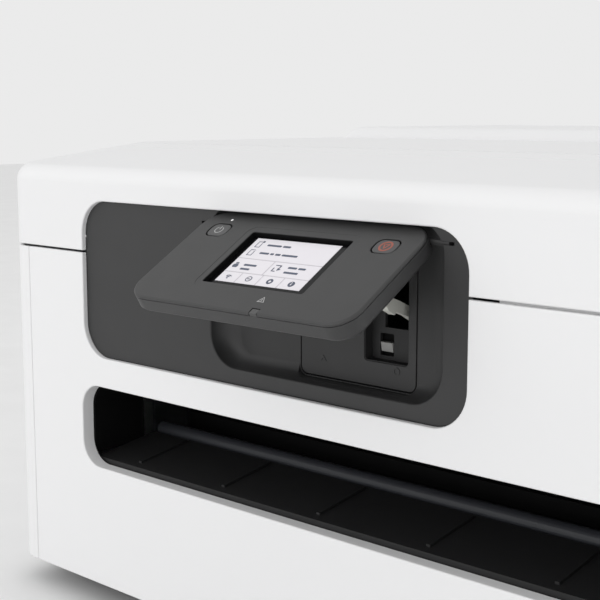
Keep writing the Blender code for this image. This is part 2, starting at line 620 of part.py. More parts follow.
def carriage():
    """Carriage body with the hook that rides on the rail's upper edge."""
    x0, x1 = HOME_X - 45, HOME_X + 45
    profile = [(-184, 122), (-119, 122), (-119, 204), (-160, 204), (-184, 186)]
    body = prism("carriage", "x", x0, x1, profile, black())
    hook = [(-140, 201.0), (-101.5, 201.0), (-101.5, 190.0), (-98, 190.0), (-98, 206.0), (-140, 206.0)]
    join(body, prism("carriage_hook", "x", x0 + 8, x1 - 8, hook))
    clamp = [(-125, 191.6), (-110.5, 191.6), (-110.5, 195.6), (-125, 195.6)]
    return join(body, prism("belt_clamp", "x", HOME_X - 12, HOME_X + 12, clamp))


def print_head():
    """Nozzle head under the carriage, its face just above the platen."""
    face = rounded(HOME_X - 26, HOME_X + 26, HEAD_Y0 + 4, HEAD_Y1 - 4, 2)
    body = rounded(HOME_X - 30, HOME_X + 30, HEAD_Y0, HEAD_Y1, 2)
    return loft("print_head", "z", [(HEAD_Z, face), (HEAD_Z + 2.9, body), (HEAD_Z + 9.1, body)], 30, steel())


def belt_loop(radius):
    """Belt outline, (x, z): two straight runs and two half turns."""
    points = []
    for x, start in ((DRIVE_X, -90), (IDLER_X, 90)):
        for k in range(11):
            t = math.radians(start + 18 * k)
            points.append((x + radius * math.cos(t), BELT_Z + radius * math.sin(t)))
    return points


def carriage_belt():
    inner = PULLEY_R + 0.3
    belt = prism("carriage_belt", "y", BELT_Y0, BELT_Y1, belt_loop(inner + 0.9), rubber())
    return cut(belt, prism("belt_inner", "y", BELT_Y0 - 3, BELT_Y1 + 3, belt_loop(inner)))


def pulley(name, x, shaft_end):
    wheel = rod(name, "y", BELT_Y0 + 0.2, BELT_Y1 - 0.2, x, BELT_Z, PULLEY_R, steel(), 28)
    teeth = 14
    for k in range(teeth):
        t = 2 * math.pi * k / teeth
        groove = circle(x + (PULLEY_R + 0.2) * math.cos(t), BELT_Z + (PULLEY_R + 0.2) * math.sin(t), 0.55, 6)
        cut(wheel, prism(f"{name}_groove_{k}", "y", BELT_Y0 - 2, BELT_Y1 + 2, groove))
    join(wheel, rod(name + "_shaft", "y", BELT_Y1 - 2, shaft_end, x, BELT_Z, 1.8, None, 12))
    return pivoted(wheel, x, 0, BELT_Z)


def carriage_motor():
    body = rod("carriage_motor", "y", -97.0, -67.0, DRIVE_X, BELT_Z - 4, 13.0, steel(), 28)
    boss = rod("motor_boss", "y", -104.5, -93.0, DRIVE_X, BELT_Z, 4.2, None)
    bore = rod("motor_shaft_bore", "y", -110.0, -92.0, DRIVE_X, BELT_Z, 2.2, None, 16)
    return cut(join(body, boss), bore)


def platen():
    """Support under the print line, ribbed across the paper's travel."""
    bed = block("platen", (PAPER_L - 4, PAPER_R + 4), (-184.0, -116.0), (97.0, 107.5), black())
    ribs = 15
    for k in range(ribs):
        x = PAPER_L + 8 + (PAPER_R - PAPER_L - 16) * k / (ribs - 1)
        join(bed, block(f"platen_rib_{k}", (x - 1.2, x + 1.2), (-182.0, -118.0), (106.0, 110.0)))
    return bed


def gear(name, x0, x1, y, z, teeth, bore, colour, turn=0.0):
    """Spur gear about an X axis, with straight-sided teeth."""
    pitch = MODULE * teeth / 2
    points = []
    for k in range(teeth):
        centre = 2 * math.pi * (k + turn) / teeth
        for share, radius in ((-0.29, pitch - 1.45), (-0.22, pitch - 0.2), (-0.1, pitch + 1.0),
                              (0.1, pitch + 1.0), (0.22, pitch - 0.2), (0.29, pitch - 1.45)):
            t = centre + share * 2 * math.pi / teeth
            points.append((y + radius * math.cos(t), z + radius * math.sin(t)))
    wheel = prism(name, "x", x0, x1, points, colour, shade=20)
    if bore:
        cut(wheel, rod(name + "_bore", "x", x0 - 3, x1 + 3, y, z, bore, None))
    return pivoted(wheel, 0, y, z)


def feed_train():
    """Feed roller with its gear, and the motor with its pinion."""
    roller = rod("feed_roller", "x", PAPER_L - 8, PAPER_R + 8, FEED_Y, FEED_Z, FEED_R, rubber(), 32)
    join(roller, rod("feed_shaft", "x", FRAME_L - 2, FRAME_R + 4, FEED_Y, FEED_Z, 4.0, None))
    pivoted(roller, 0, FEED_Y, FEED_Z)
    nylon = material("natural_nylon", (0.7, 0.69, 0.65), 0.5)
    brass = material("brass", (0.6, 0.45, 0.2), 0.3, 1.0)
    gear("feed_gear", -433, -426, FEED_Y, FEED_Z, GEAR_TEETH, 4.3, nylon)
    pinion_y = FEED_Y + MODULE * (GEAR_TEETH + PINION_TEETH) / 2 + MESH_GAP
    pinion = gear("feed_pinion", -434, -425, pinion_y, FEED_Z, PINION_TEETH, 0, brass, 0.5)
    join(pinion, rod("pinion_shaft", "x", -427, -418, pinion_y, FEED_Z, 1.8, None, 12))
    motor = rod("feed_motor", "x", -423, -392, pinion_y, FEED_Z, 16.0, steel(), 28)
    cut(motor, rod("feed_motor_bore", "x", -430, -416, pinion_y, FEED_Z, 2.2, None, 16))


def pinch_roller():
    """Idle shaft with rubber tyres that press the paper on the feed roller."""
    z = FEED_Z + FEED_R + PINCH_R + 0.4
    shaft = rod("pinch_roller", "x", PAPER_L - 10, PAPER_R + 10, FEED_Y, z, 2.2, rubber(), 16)
    tyres = 8
    for k in range(tyres):
        x = PAPER_L + 30 + (PAPER_R - PAPER_L - 60) * k / (tyres - 1)
        join(shaft, rod(f"pinch_tyre_{k}", "x", x - 12, x + 12, FEED_Y, z, PINCH_R, None, 20))
    return pivoted(shaft, 0, FEED_Y, z)


def eject_roller():
    roller = rod("eject_roller", "x", OUT_L + 3, OUT_R - 3, EJECT_Y, EJECT_Z, EJECT_R,
                 material("roller_grey", (0.06, 0.065, 0.075), 0.45), 24)
    return pivoted(roller, 0, EJECT_Y, EJECT_Z)


def cutter_unit():
    """Rolling cutter on the platen's front edge, parked at the right."""
    profile = [(-196.5, 106.5), (-186.0, 106.5), (-186.0, 112.0), (-188.5, 126.0), (-196.5, 126.0)]
    unit = prism("cutter_unit", "x", 196, 218, profile, black())
    return cut(unit, block("cutter_nick", (190, 203), (-200, -191), (100, 113)))


def purge_unit():
    """Capping and cleaning station under the parked head."""
    body = block("purge_unit", (HOME_X - 40, HOME_X + 40), (-182, -122), (FLOOR_Z, 104), black())
    cap = prism("purge_cap", "z", 103, 111.8, rounded(HOME_X - 22, HOME_X + 22, -168, -136, 3))
    well = prism("purge_cap_well", "z", 108, 115, rounded(HOME_X - 19, HOME_X + 19, -165, -139, 2))
    return cut(join(body, cap), well)


# ---------------------------------------------------------------- paper roll

def roll_spool():
    spool = rod("roll_spool", "x", FRAME_L - 3, FRAME_R + 6, SPOOL_Y, SPOOL_Z, SPOOL_R, black(), 28)
    rim, face = circle(SPOOL_Y, SPOOL_Z, FLANGE_R, 40), circle(SPOOL_Y, SPOOL_Z, FLANGE_R - 3, 40)
    flange = loft("spool_flange", "x", [(PAPER_L - 12, face), (PAPER_L - 4, rim), (PAPER_L - 2, rim)])
    hub = rod("spool_hub", "x", PAPER_L - 3, PAPER_L + 22, SPOOL_Y, SPOOL_Z, HUB_R, None, 28)
    return pivoted(join(spool, flange, hub), 0, SPOOL_Y, SPOOL_Z)


def roll_flange():
    """Sliding flange that sets the roll's width."""
    rim, face = circle(SPOOL_Y, SPOOL_Z, FLANGE_R, 40), circle(SPOOL_Y, SPOOL_Z, FLANGE_R - 3, 40)
    sections = [(PAPER_R + 2, rim), (PAPER_R + 4, rim), (PAPER_R + 12, face)]
    flange = loft("roll_flange_right", "x", sections, 30, black())
    join(flange, rod("flange_hub", "x", PAPER_R - 20, PAPER_R + 24, SPOOL_Y, SPOOL_Z, HUB_R, None, 28))
    cut(flange, rod("flange_bore", "x", PAPER_R - 30, PAPER_R + 40, SPOOL_Y, SPOOL_Z, SPOOL_R + 0.4,
                    None, 28))
    return pivoted(flange, 0, SPOOL_Y, SPOOL_Z)


# ---------------------------------------------------------------- ink, waste and electrics

def ink_tanks():
    colours = {"black": (0.02, 0.02, 0.02), "cyan": (0.0, 0.35, 0.6), "magenta": (0.6, 0.03, 0.25),
               "yellow": (0.8, 0.65, 0.02)}
    y = (TANK_Y0 + TANK_Y1) / 2 - 8
    for k, ink in enumerate(TANKS):
        x0 = TANK_X0 + TANK_PITCH * k
        x = x0 + TANK_W / 2
        tank = prism(f"ink_tank_{ink}", "z", TANK_Z0, TANK_Z1,
                     rounded(x0, x0 + TANK_W, TANK_Y0, TANK_Y1, 5, 4),
                     material(f"ink_{ink}", colours[ink], 0.2))
        join(tank, rod(f"spout_{ink}", "z", TANK_Z1 - 3, TANK_Z1 + SPOUT_H, x, y, SPOUT_R, None))
        for side in (-1, 1):
            lug = sorted((x + side * 6.6, x + side * 9.4))
            join(tank, block(f"hinge_lug_{ink}_{side}", lug, (CAP_HINGE_Y - 3, CAP_HINGE_Y + 3),
                             (TANK_Z1 - 2, TANK_Z1 + 15)))
        cut(tank, rod(f"fill_hole_{ink}", "z", TANK_Z1 - 12, TANK_Z1 + SPOUT_H + 3, x, y, 5.5, None, 20))
        cap_lever(ink, x, y)


def cap_lever(ink, x, y):
    """Sealing cap on a lever that flips to the rear about its hinge lug."""
    low = TANK_Z1 + SPOUT_H + GAP
    cap = rod(f"tank_cap_{ink}", "z", low, low + 5, x, y, SPOUT_R + 3, charcoal())
    lever = prism(f"cap_lever_{ink}", "z", low + 1.5, low + 4.5,
                  rounded(x - 6, x + 6, y - 18, TANK_Y1 - 8, 3, 3))
    plug = rod(f"cap_plug_{ink}", "z", low - 4, low + 1, x, y, 4.2, None, 20)
    join(cap, lever, plug)
    return pivoted(cap, x, CAP_HINGE_Y, low + 3)


def maintenance_cartridge():
    """Waste-ink box that pulls out of the right side."""
    body = block("maintenance_cartridge", (345, RIGHT - 0.6), (CARTRIDGE_Y0, CARTRIDGE_Y1),
                 (CARTRIDGE_Z0, CARTRIDGE_Z1), charcoal())
    return cut(body, prism("cartridge_grip", "y", -125, -95, rounded(RIGHT - 14, RIGHT + 5, 60, 84, 4)))


def main_board():
    solder_mask = material("circuit_board", (0.02, 0.16, 0.06), 0.4)
    board = block("main_board", (-463.0, -461.4), (-60, 140), (52, 190), solder_mask)
    chips = ((-35, 5, 90, 130, 3.5), (30, 50, 70, 110, 2.5), (80, 118, 120, 158, 3.0), (70, 120, 60, 74, 9.0))
    for k, (y0, y1, z0, z1, height) in enumerate(chips):
        join(board, block(f"board_chip_{k}", (-462.0, -461.4 + height), (y0, y1), (z0, z1)))
    return board


def power_supply():
    box = block("power_supply", (345, 462), (70, 205), (FLOOR_Z, 92), steel())
    cut(box, block("supply_hollow", (346.5, 460.5), (71.5, 203.5), (FLOOR_Z + 1.5, 90.5)))
    for k in range(8):
        y = 86 + 14 * k
        cut(box, block(f"supply_vent_{k}", (360, 447), (y, y + 5), (88, 100)))
    return box


def ac_inlet():
    edge = rounded(INLET_L, INLET_R, INLET_Z0, INLET_Z1, 2.5)
    body = prism("ac_inlet", "y", REAR - 26, REAR - 0.5, edge, black())
    socket = rounded(INLET_L + 4.5, INLET_R - 4.5, INLET_Z0 + 4, INLET_Z1 - 4, 2)
    return cut(body, prism("inlet_socket", "y", REAR - 16, REAR + 5, socket))


def main():
    for obj in list(bpy.data.objects):
        bpy.data.objects.remove(obj)
    feet()
    base_pan()
    side_cover("left_side_cover", -1)
    right = side_cover("right_side_cover", 1)
    cut(right, block("cartridge_hole", (RIGHT - 10, RIGHT + 5), (CARTRIDGE_Y0 - 1, CARTRIDGE_Y1 + 1),
                     (CARTRIDGE_Z0 - 1, CARTRIDGE_Z1 + 1)))
    front_cover()
    ink_window()
    rear_cover()
    top_cover()
    ink_tank_lid()
    roll_cover()
    sheet_feed_flap()
    outlet_liner()
    output_tray()
    control_housing()
    service_plate()
    release_lever()
    panel_front_shell()
    panel_back_shell()
    panel_pins()
    touch_screen()
    button("power_button", POWER_X, POWER_V)
    button("stop_button", STOP_X, STOP_V)
    status_lamp()
    panel_stay_arm()
    frame_plate("frame_plate_left", FRAME_L)
    frame_plate("frame_plate_right", FRAME_R)
    main_rail()
    carriage()
    print_head()
    carriage_belt()
    pulley("belt_drive_pulley", DRIVE_X, -93.0)
    pulley("belt_idler_pulley", IDLER_X, -103.5)
    carriage_motor()
    platen()
    feed_train()
    pinch_roller()
    eject_roller()
    cutter_unit()
    purge_unit()
    roll_spool()
    roll_flange()
    ink_tanks()
    maintenance_cartridge()
    main_board()
    power_supply()
    ac_inlet()


main()
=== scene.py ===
"""Looks for the desktop roll-fed inkjet printer: camera, light, materials and finely shaped pieces.

Lengths are in millimetres in the CAD's own frame unless a name says otherwise; meshes are in metres.
"""

import json
import math

import bmesh
import bpy
from mathutils import Matrix, Vector


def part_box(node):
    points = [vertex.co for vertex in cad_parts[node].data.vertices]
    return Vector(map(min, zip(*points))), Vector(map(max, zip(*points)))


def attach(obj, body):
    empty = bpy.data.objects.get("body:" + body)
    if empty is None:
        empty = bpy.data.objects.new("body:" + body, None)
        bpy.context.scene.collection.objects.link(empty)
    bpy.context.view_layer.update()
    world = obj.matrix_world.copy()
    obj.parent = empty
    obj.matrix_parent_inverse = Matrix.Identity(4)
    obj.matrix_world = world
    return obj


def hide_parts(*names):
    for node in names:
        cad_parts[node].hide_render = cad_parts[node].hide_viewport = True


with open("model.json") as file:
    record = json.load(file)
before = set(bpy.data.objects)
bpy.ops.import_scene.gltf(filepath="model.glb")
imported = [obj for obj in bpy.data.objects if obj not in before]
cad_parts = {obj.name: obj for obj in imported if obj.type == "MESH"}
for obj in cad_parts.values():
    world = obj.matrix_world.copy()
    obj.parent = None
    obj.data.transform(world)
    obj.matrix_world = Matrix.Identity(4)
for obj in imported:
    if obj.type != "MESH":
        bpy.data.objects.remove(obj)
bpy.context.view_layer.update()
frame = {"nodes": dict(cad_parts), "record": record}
MM = 0.001


def span(node):
    """x0, x1, y0, y1, z0, z1 of a node, in millimetres."""
    low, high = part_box(node)
    return tuple(v / MM for pair in zip(low, high) for v in pair)


# ---------------------------------------------------------------- places taken from the frame
COVER_L, COVER_R, FRONT, _, SKIRT_Z, COVER_TOP = span("front_cover")
LEFT, RIGHT, _, REAR, _, _ = span("roll_cover")
HOUSE_L, HOUSE_R, HOUSE_Y, HOUSE_BACK, HOUSE_Z0, HOUSE_Z1 = span("control_housing")
PLATE_L, PLATE_R, PLATE_Y, _, PLATE_Z0, PLATE_Z1 = span("service_plate")
LINER = span("outlet_liner")
LID_Z0 = span("top_cover")[4]
JOINTS = {joint["name"]: joint for joint in frame["record"]["behaviour"]["joints"]}
HINGE = Vector(JOINTS["panel_tilt"]["pos_m"])
HINGE_Y, HINGE_Z = HINGE.y / MM, HINGE.z / MM
TILT = math.radians(-JOINTS["panel_tilt"]["range_deg"][0])

WALL = 3.0
NOTCH_OVERLAP = 0.2           # how far the white covers reach over the housing's rounded edge
NOTCH_L, NOTCH_R = HOUSE_L + NOTCH_OVERLAP, HOUSE_R - NOTCH_OVERLAP
NOTCH_TOP_OVERLAP = 0.6       # the same for the lid, over the housing's top
NOTCH_Z0, NOTCH_Z1 = HOUSE_Z0 + NOTCH_OVERLAP, HOUSE_Z1 - NOTCH_TOP_OVERLAP
NOTCH_CORNER = 20.0
NOTCH_DEPTH = 14
CASE_CORNER = 18.0            # radius of the upright corners
PANE_GAP = 0.3
OUT_L, OUT_R, OUT_Z0, OUT_Z1, OUT_CORNER = LINER[0] + 2.2, LINER[1] - 3, 88.0, LINER[5] - 4.0, 15.0
OUT_RETURN = 8.0              # how far the outlet's wall turns inwards
LIP = 0.85                    # rounding of the white covers' edge round the housing


# ---------------------------------------------------------------- materials
GRAIN_DEPTH_M = 0.0002


def shader(name):
    mat = bpy.data.materials.new(name)
    mat.use_nodes = True
    return mat, mat.node_tree, mat.node_tree.nodes["Principled BSDF"]


def noise(tree, scale, detail=2.0, stretch=(1, 1, 1)):
    coords = tree.nodes.new("ShaderNodeTexCoord")
    mapping = tree.nodes.new("ShaderNodeMapping")
    mapping.inputs["Scale"].default_value = stretch
    tree.links.new(coords.outputs["Object"], mapping.inputs["Vector"])
    node = tree.nodes.new("ShaderNodeTexNoise")
    node.inputs["Scale"].default_value = scale
    node.inputs["Detail"].default_value = detail
    tree.links.new(mapping.outputs["Vector"], node.inputs["Vector"])
    return node.outputs["Fac"]


def remap(tree, source, low, high):
    node = tree.nodes.new("ShaderNodeMapRange")
    node.inputs["To Min"].default_value = low
    node.inputs["To Max"].default_value = high
    tree.links.new(source, node.inputs["Value"])
    return node.outputs["Result"]


def plastic(name, colour, roughness, grain=0.03, grain_scale=2600, drift=0.04, spread=0.05, **more):
    """Moulded plastic: a fine spark-eroded grain, slow drift of shade, and uneven gloss."""
    mat, tree, bsdf = shader(name)
    mix = tree.nodes.new("ShaderNodeMix")
    mix.data_type = "RGBA"
    mix.inputs["A"].default_value = (*[c * (1 - drift) for c in colour], 1)
    mix.inputs["B"].default_value = (*[min(1, c * (1 + drift)) for c in colour], 1)
    tree.links.new(noise(tree, 14, 3), mix.inputs["Factor"])
    tree.links.new(mix.outputs["Result"], bsdf.inputs["Base Color"])
    tree.links.new(remap(tree, noise(tree, 60, 4), roughness - spread, roughness + spread),
                   bsdf.inputs["Roughness"])
    bump = tree.nodes.new("ShaderNodeBump")
    bump.inputs["Strength"].default_value = grain
    bump.inputs["Distance"].default_value = GRAIN_DEPTH_M
    tree.links.new(noise(tree, grain_scale, 2), bump.inputs["Height"])
    tree.links.new(bump.outputs["Normal"], bsdf.inputs["Normal"])
    for key, value in more.items():
        bsdf.inputs[key.replace("_", " ")].default_value = value
    return mat


def metal(name, colour, roughness, stretch=(1, 1, 1), grain_scale=900):
    """Sheet or turned metal with fine rolling marks."""
    mat, tree, bsdf = shader(name)
    bsdf.inputs["Metallic"].default_value = 1.0
    fine = noise(tree, grain_scale, 3, stretch)
    mix = tree.nodes.new("ShaderNodeMix")
    mix.data_type = "RGBA"
    mix.inputs["A"].default_value = (*[c * 0.85 for c in colour], 1)
    mix.inputs["B"].default_value = (*colour, 1)
    tree.links.new(fine, mix.inputs["Factor"])
    tree.links.new(mix.outputs["Result"], bsdf.inputs["Base Color"])
    tree.links.new(remap(tree, fine, roughness - 0.08, roughness + 0.1), bsdf.inputs["Roughness"])
    return mat


def glow(name, colour, strength):
    """Lit display picture, with the faint unevenness of a backlight."""
    mat, tree, bsdf = shader(name)
    mix = tree.nodes.new("ShaderNodeMix")
    mix.data_type = "RGBA"
    mix.inputs["A"].default_value = (*[c * 0.97 for c in colour], 1)
    mix.inputs["B"].default_value = (*colour, 1)
    tree.links.new(noise(tree, 30, 1), mix.inputs["Factor"])
    tree.links.new(mix.outputs["Result"], bsdf.inputs["Base Color"])
    bsdf.inputs["Emission Color"].default_value = (*colour, 1)
    bsdf.inputs["Emission Strength"].default_value = strength
    bsdf.inputs["Roughness"].default_value = 0.25
    return mat


WHITE = plastic("white_cover_plastic", (0.83, 0.83, 0.835), 0.42, grain=0.05, drift=0.008)
HOUSING = plastic("housing_plastic", (0.027, 0.027, 0.0275), 0.52, grain=0.12, drift=0.03)
# Charcoal painted lighter than the housing's: painted light for the panel's upward tilt.
PANEL_PAINTED_LIGHT = plastic("panel_charcoal_painted_light", (0.039, 0.039, 0.0395), 0.50, grain=0.12, drift=0.03)
KEY = plastic("key_plastic", (0.062, 0.062, 0.063), 0.40, grain=0.06, drift=0.03)
BLACK = plastic("black_plastic_moulded", (0.008, 0.008, 0.0085), 0.55, grain=0.1, drift=0.1)
# Black plastic painted darker and duller still: painted shade for the pieces that sit in gaps and recesses.
BLACK_PAINTED_SHADE = plastic("black_plastic_painted_shade", (0.003, 0.003, 0.0032), 0.7, grain=0.1, drift=0.1,
               Specular_IOR_Level=0.12)
# Charcoal painted darker: painted shade in the pocket behind the service plate's window.
POCKET_PAINTED_SHADE = plastic("pocket_plastic_painted_shade", (0.018, 0.018, 0.0185), 0.6, grain=0.1, drift=0.05)
LIGHT_GREY = plastic("light_grey_plastic_moulded", (0.72, 0.72, 0.66), 0.42, drift=0.03)
# Light grey plastic painted dark grey: painted shade on the release lever in its pocket.
LEVER_PAINTED_SHADE = plastic("lever_light_grey_painted_shade", (0.31, 0.31, 0.30), 0.42, drift=0.03)
ROLLER = plastic("roller_plastic", (0.028, 0.03, 0.036), 0.5, grain=0.05)
RUBBER = plastic("soft_rubber", (0.022, 0.022, 0.023), 0.75, grain=0.3, grain_scale=1500)
STEEL = metal("galvanised_steel", (0.62, 0.63, 0.65), 0.34, (1, 1, 30), 160)
TURNED = metal("turned_steel", (0.66, 0.66, 0.68), 0.25, (40, 1, 1), 120)
BRASS = metal("brass_gear", (0.72, 0.55, 0.25), 0.28)
NYLON = plastic("natural_nylon", (0.72, 0.70, 0.64), 0.45, Subsurface_Weight=0.1)
BOARD = plastic("solder_mask", (0.01, 0.11, 0.05), 0.35, grain=0.2, grain_scale=700)
GLASS_DARK = plastic("screen_glass_border", (0.004, 0.004, 0.0045), 0.2, grain=0.0, spread=0.02,
                     Specular_IOR_Level=0.15)
SCREEN = glow("screen_picture", (0.80, 0.775, 0.815), 0.04)
SCREEN_LINE = glow("screen_divider", (0.58, 0.56, 0.59), 0.03)
SCREEN_DARK = glow("screen_icon", (0.07, 0.085, 0.13), 0.05)
PRINT_GREY = plastic("grey_print", (0.42, 0.42, 0.42), 0.5)
PRINT_RED = plastic("red_print", (0.32, 0.085, 0.055), 0.45)
LED_WHITE = glow("led_lens", (0.8, 0.8, 0.8), 0.4)
LAMP = plastic("lamp_lens", (0.055, 0.055, 0.055), 0.28, grain=0.02)
SMOKED = plastic("smoked_window", (0.30, 0.30, 0.33), 0.12, grain=0.0, spread=0.03,
                 Transmission_Weight=0.95, IOR=1.2)


# ---------------------------------------------------------------- geometry helpers
def rect(a0, a1, b0, b1):
    return [(a0, b0), (a1, b0), (a1, b1), (a0, b1)]


def rounded(a0, a1, b0, b1, radius, steps=10):
    """Rounded rectangle, counter-clockwise, the same number of points whatever the radii."""
    radii = radius if isinstance(radius, tuple) else (radius,) * 4
    points = []
    for (a, b, start), r in zip(((a0, b0, 180), (a1, b0, 270), (a1, b1, 0), (a0, b1, 90)), radii):
        r = max(r, 0.15)
        centre_a = a + r if a == a0 else a - r
        centre_b = b + r if b == b0 else b - r
        for k in range(steps + 1):
            t = math.radians(start + 90 * k / steps)
            points.append((centre_a + r * math.cos(t), centre_b + r * math.sin(t)))
    return points


def growing(a0, a1, b0, b1, radius, steps=10):
    """A function of grow that gives the rounded rectangle offset outwards by it."""
    radii = radius if isinstance(radius, tuple) else (radius,) * 4

    def outline(grow):
        return rounded(a0 - grow, a1 + grow, b0 - grow, b1 + grow, tuple(r + grow for r in radii), steps)
    return outline


def circle(a, b, radius, steps=32):
    turn = 2 * math.pi / steps
    return [(a + radius * math.cos(turn * k), b + radius * math.sin(turn * k)) for k in range(steps)]


def place(axis, height, point):
    a, b = point
    return {"x": (height, a, b), "y": (a, height, b), "z": (a, b, height)}[axis]


def new_object(name, bm, mat):
    bmesh.ops.recalc_face_normals(bm, faces=bm.faces)
    mesh = bpy.data.meshes.new(name)
    bm.to_mesh(mesh)
    bm.free()
    obj = bpy.data.objects.new(name, mesh)
    bpy.context.scene.collection.objects.link(obj)
    if mat:
        mesh.materials.append(mat)
    return obj


def loft(name, axis, sections, mat=None):
    """Closed solid through [(height, outline), ...] along an axis."""
    bm = bmesh.new()
    rings = [[bm.verts.new(Vector(place(axis, h, p)) * MM) for p in outline] for h, outline in sections]
    for low, high in zip(rings, rings[1:]):
        for k in range(len(low)):
            n = (k + 1) % len(low)
            bm.faces.new((low[k], low[n], high[n], high[k]))
    bm.faces.new(rings[0])
    bm.faces.new(rings[-1])
    return new_object(name, bm, mat)


def prism(name, axis, low, high, outline, mat=None):
    return loft(name, axis, [(low, outline), (high, outline)], mat)


def block(name, x, y, z, mat=None):
    return prism(name, "z", z[0], z[1], rect(*x, *y), mat)


def pillow(name, axis, low, high, outline, r_low, r_high, mat=None, steps=4):
    """Prism whose two rims are rounded with radii r_low and r_high; outline is a growing() function."""
    sections = []
    for end, r, way in ((low, r_low, 1), (high, r_high, -1)):
        part = []
        for k in range(steps + 1):
            t = math.radians(90 * k / steps)
            part.append((end + way * r * (1 - math.sin(t)), outline(-r * (1 - math.cos(t)))))
        sections += part[::-1] if way > 0 else part
    return loft(name, axis, sections, mat)


def lipped(name, axis, face, depth, outline, lip, way=1, steps=5):
    """Cutter for a hole whose front rim is rounded by lip; it enters at face and runs depth along way."""
    sections = [(face - way * 8, outline(lip))]
    for k in range(steps + 1):
        t = math.radians(90 * k / steps)
        sections.append((face + way * lip * (1 - math.cos(t)), outline(lip * (1 - math.sin(t)))))
    sections.append((face + way * depth, outline(0)))
    return loft(name, axis, sections)


def bake(obj):
    """Turns an object's modifiers into its mesh."""
    graph = bpy.context.evaluated_depsgraph_get()
    mesh = bpy.data.meshes.new_from_object(obj.evaluated_get(graph))
    obj.modifiers.clear()
    obj.data = mesh
    return obj


def combine(obj, operation, *others):
    for other in others:
        modifier = obj.modifiers.new(operation, "BOOLEAN")
        modifier.operation = operation
        modifier.object = other
        modifier.solver = "EXACT"
    bake(obj)
    for other in others:
        bpy.data.objects.remove(other)
    return obj


def cut(obj, *others):
    return combine(obj, "DIFFERENCE", *others)


def join(obj, *others):
    return combine(obj, "UNION", *others)


def smooth(obj, bevel=0.0, segments=3, angle=38):
    """Softens the hard edges and shades the rest smooth without bending flat faces."""
    if bevel:
        modifier = obj.modifiers.new("edge", "BEVEL")
        modifier.width = bevel * MM
        modifier.segments = segments
        modifier.limit_method = "ANGLE"
        modifier.angle_limit = math.radians(angle)
        modifier.harden_normals = False
        bake(obj)
    obj.data.shade_smooth()
    obj.data.set_sharp_from_angle(angle=math.radians(angle))
    modifier = obj.modifiers.new("flat faces", "WEIGHTED_NORMAL")
    modifier.keep_sharp = True
    return obj


def tilted(obj):
    """Turns a piece drawn with the panel closed to the panel's rest angle."""
    turn = Matrix.Translation(HINGE) @ Matrix.Rotation(-TILT, 4, "X") @ Matrix.Translation(-HINGE)
    obj.data.transform(turn)
    return obj


def settle(obj, body, slot, *nodes):
    """The piece rides on a body and stands for CAD nodes; slot is not used."""
    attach(obj, body)
    if nodes:
        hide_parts(*nodes)
    return obj


# ---------------------------------------------------------------- camera, light and floor
CAMERA_OFFSET = (455.2, -448.5, 96.1)    # from the middle of the housing, in the front plane
CAMERA_YAW, CAMERA_PITCH = 43.0, 8.49
LENS_MM, SENSOR_MM, CLIP_START_M = 75.5, 36.0, 0.02
WORLD_STRENGTH, KEY_LIGHT_W, FILL_LIGHT_W = 0.83, 19, 3
FLOOR_HALF_M = 6


def camera():
    centre = Vector(((HOUSE_L + HOUSE_R) / 2, FRONT, (HOUSE_Z0 + HOUSE_Z1) / 2))
    data = bpy.data.cameras.new("camera")
    data.lens = LENS_MM
    data.sensor_width = SENSOR_MM
    data.clip_start = CLIP_START_M
    obj = bpy.data.objects.new("camera", data)
    obj.location = (centre + Vector(CAMERA_OFFSET)) * MM
    yaw, pitch = math.radians(CAMERA_YAW), math.radians(CAMERA_PITCH)
    look = Vector((-math.sin(yaw) * math.cos(pitch), math.cos(yaw) * math.cos(pitch), -math.sin(pitch)))
    obj.rotation_euler = look.to_track_quat("-Z", "Y").to_euler()
    bpy.context.scene.collection.objects.link(obj)
    bpy.context.scene.camera = obj


def area_light(name, place_m, target_m, size_m, power_w):
    data = bpy.data.lights.new(name, "AREA")
    data.shape = "RECTANGLE"
    data.size, data.size_y = size_m
    data.energy = power_w
    obj = bpy.data.objects.new(name, data)
    obj.location = place_m
    obj.rotation_euler = (Vector(target_m) - Vector(place_m)).to_track_quat("-Z", "Y").to_euler()
    bpy.context.scene.collection.objects.link(obj)


def studio():
    scene = bpy.context.scene
    scene.view_settings.view_transform = "Standard"
    world = bpy.data.worlds.new("studio")
    world.use_nodes = True
    world.node_tree.nodes["Background"].inputs["Color"].default_value = (1, 1, 1, 1)
    world.node_tree.nodes["Background"].inputs["Strength"].default_value = WORLD_STRENGTH
    scene.world = world
    area_light("key", (-0.3, -2.8, 1.1), (-0.2, -0.2, 0.15), (3.0, 2.2), KEY_LIGHT_W)
    area_light("fill", (-1.8, -1.4, 1.6), (-0.2, -0.2, 0.2), (1.8, 1.8), FILL_LIGHT_W)
    bm = bmesh.new()
    corners = rect(-FLOOR_HALF_M, FLOOR_HALF_M, -FLOOR_HALF_M, FLOOR_HALF_M)
    bm.faces.new([bm.verts.new((*c, 0)) for c in corners])
    floor = new_object("floor", bm, plastic("pale_floor", (0.85, 0.85, 0.85), 0.7, grain=0))


# ---------------------------------------------------------------- white covers
def notch(name, lip):
    outline = growing(NOTCH_L, NOTCH_R, NOTCH_Z0, NOTCH_Z1, NOTCH_CORNER, 14)
    return lipped(name, "y", FRONT, NOTCH_DEPTH, outline, lip)


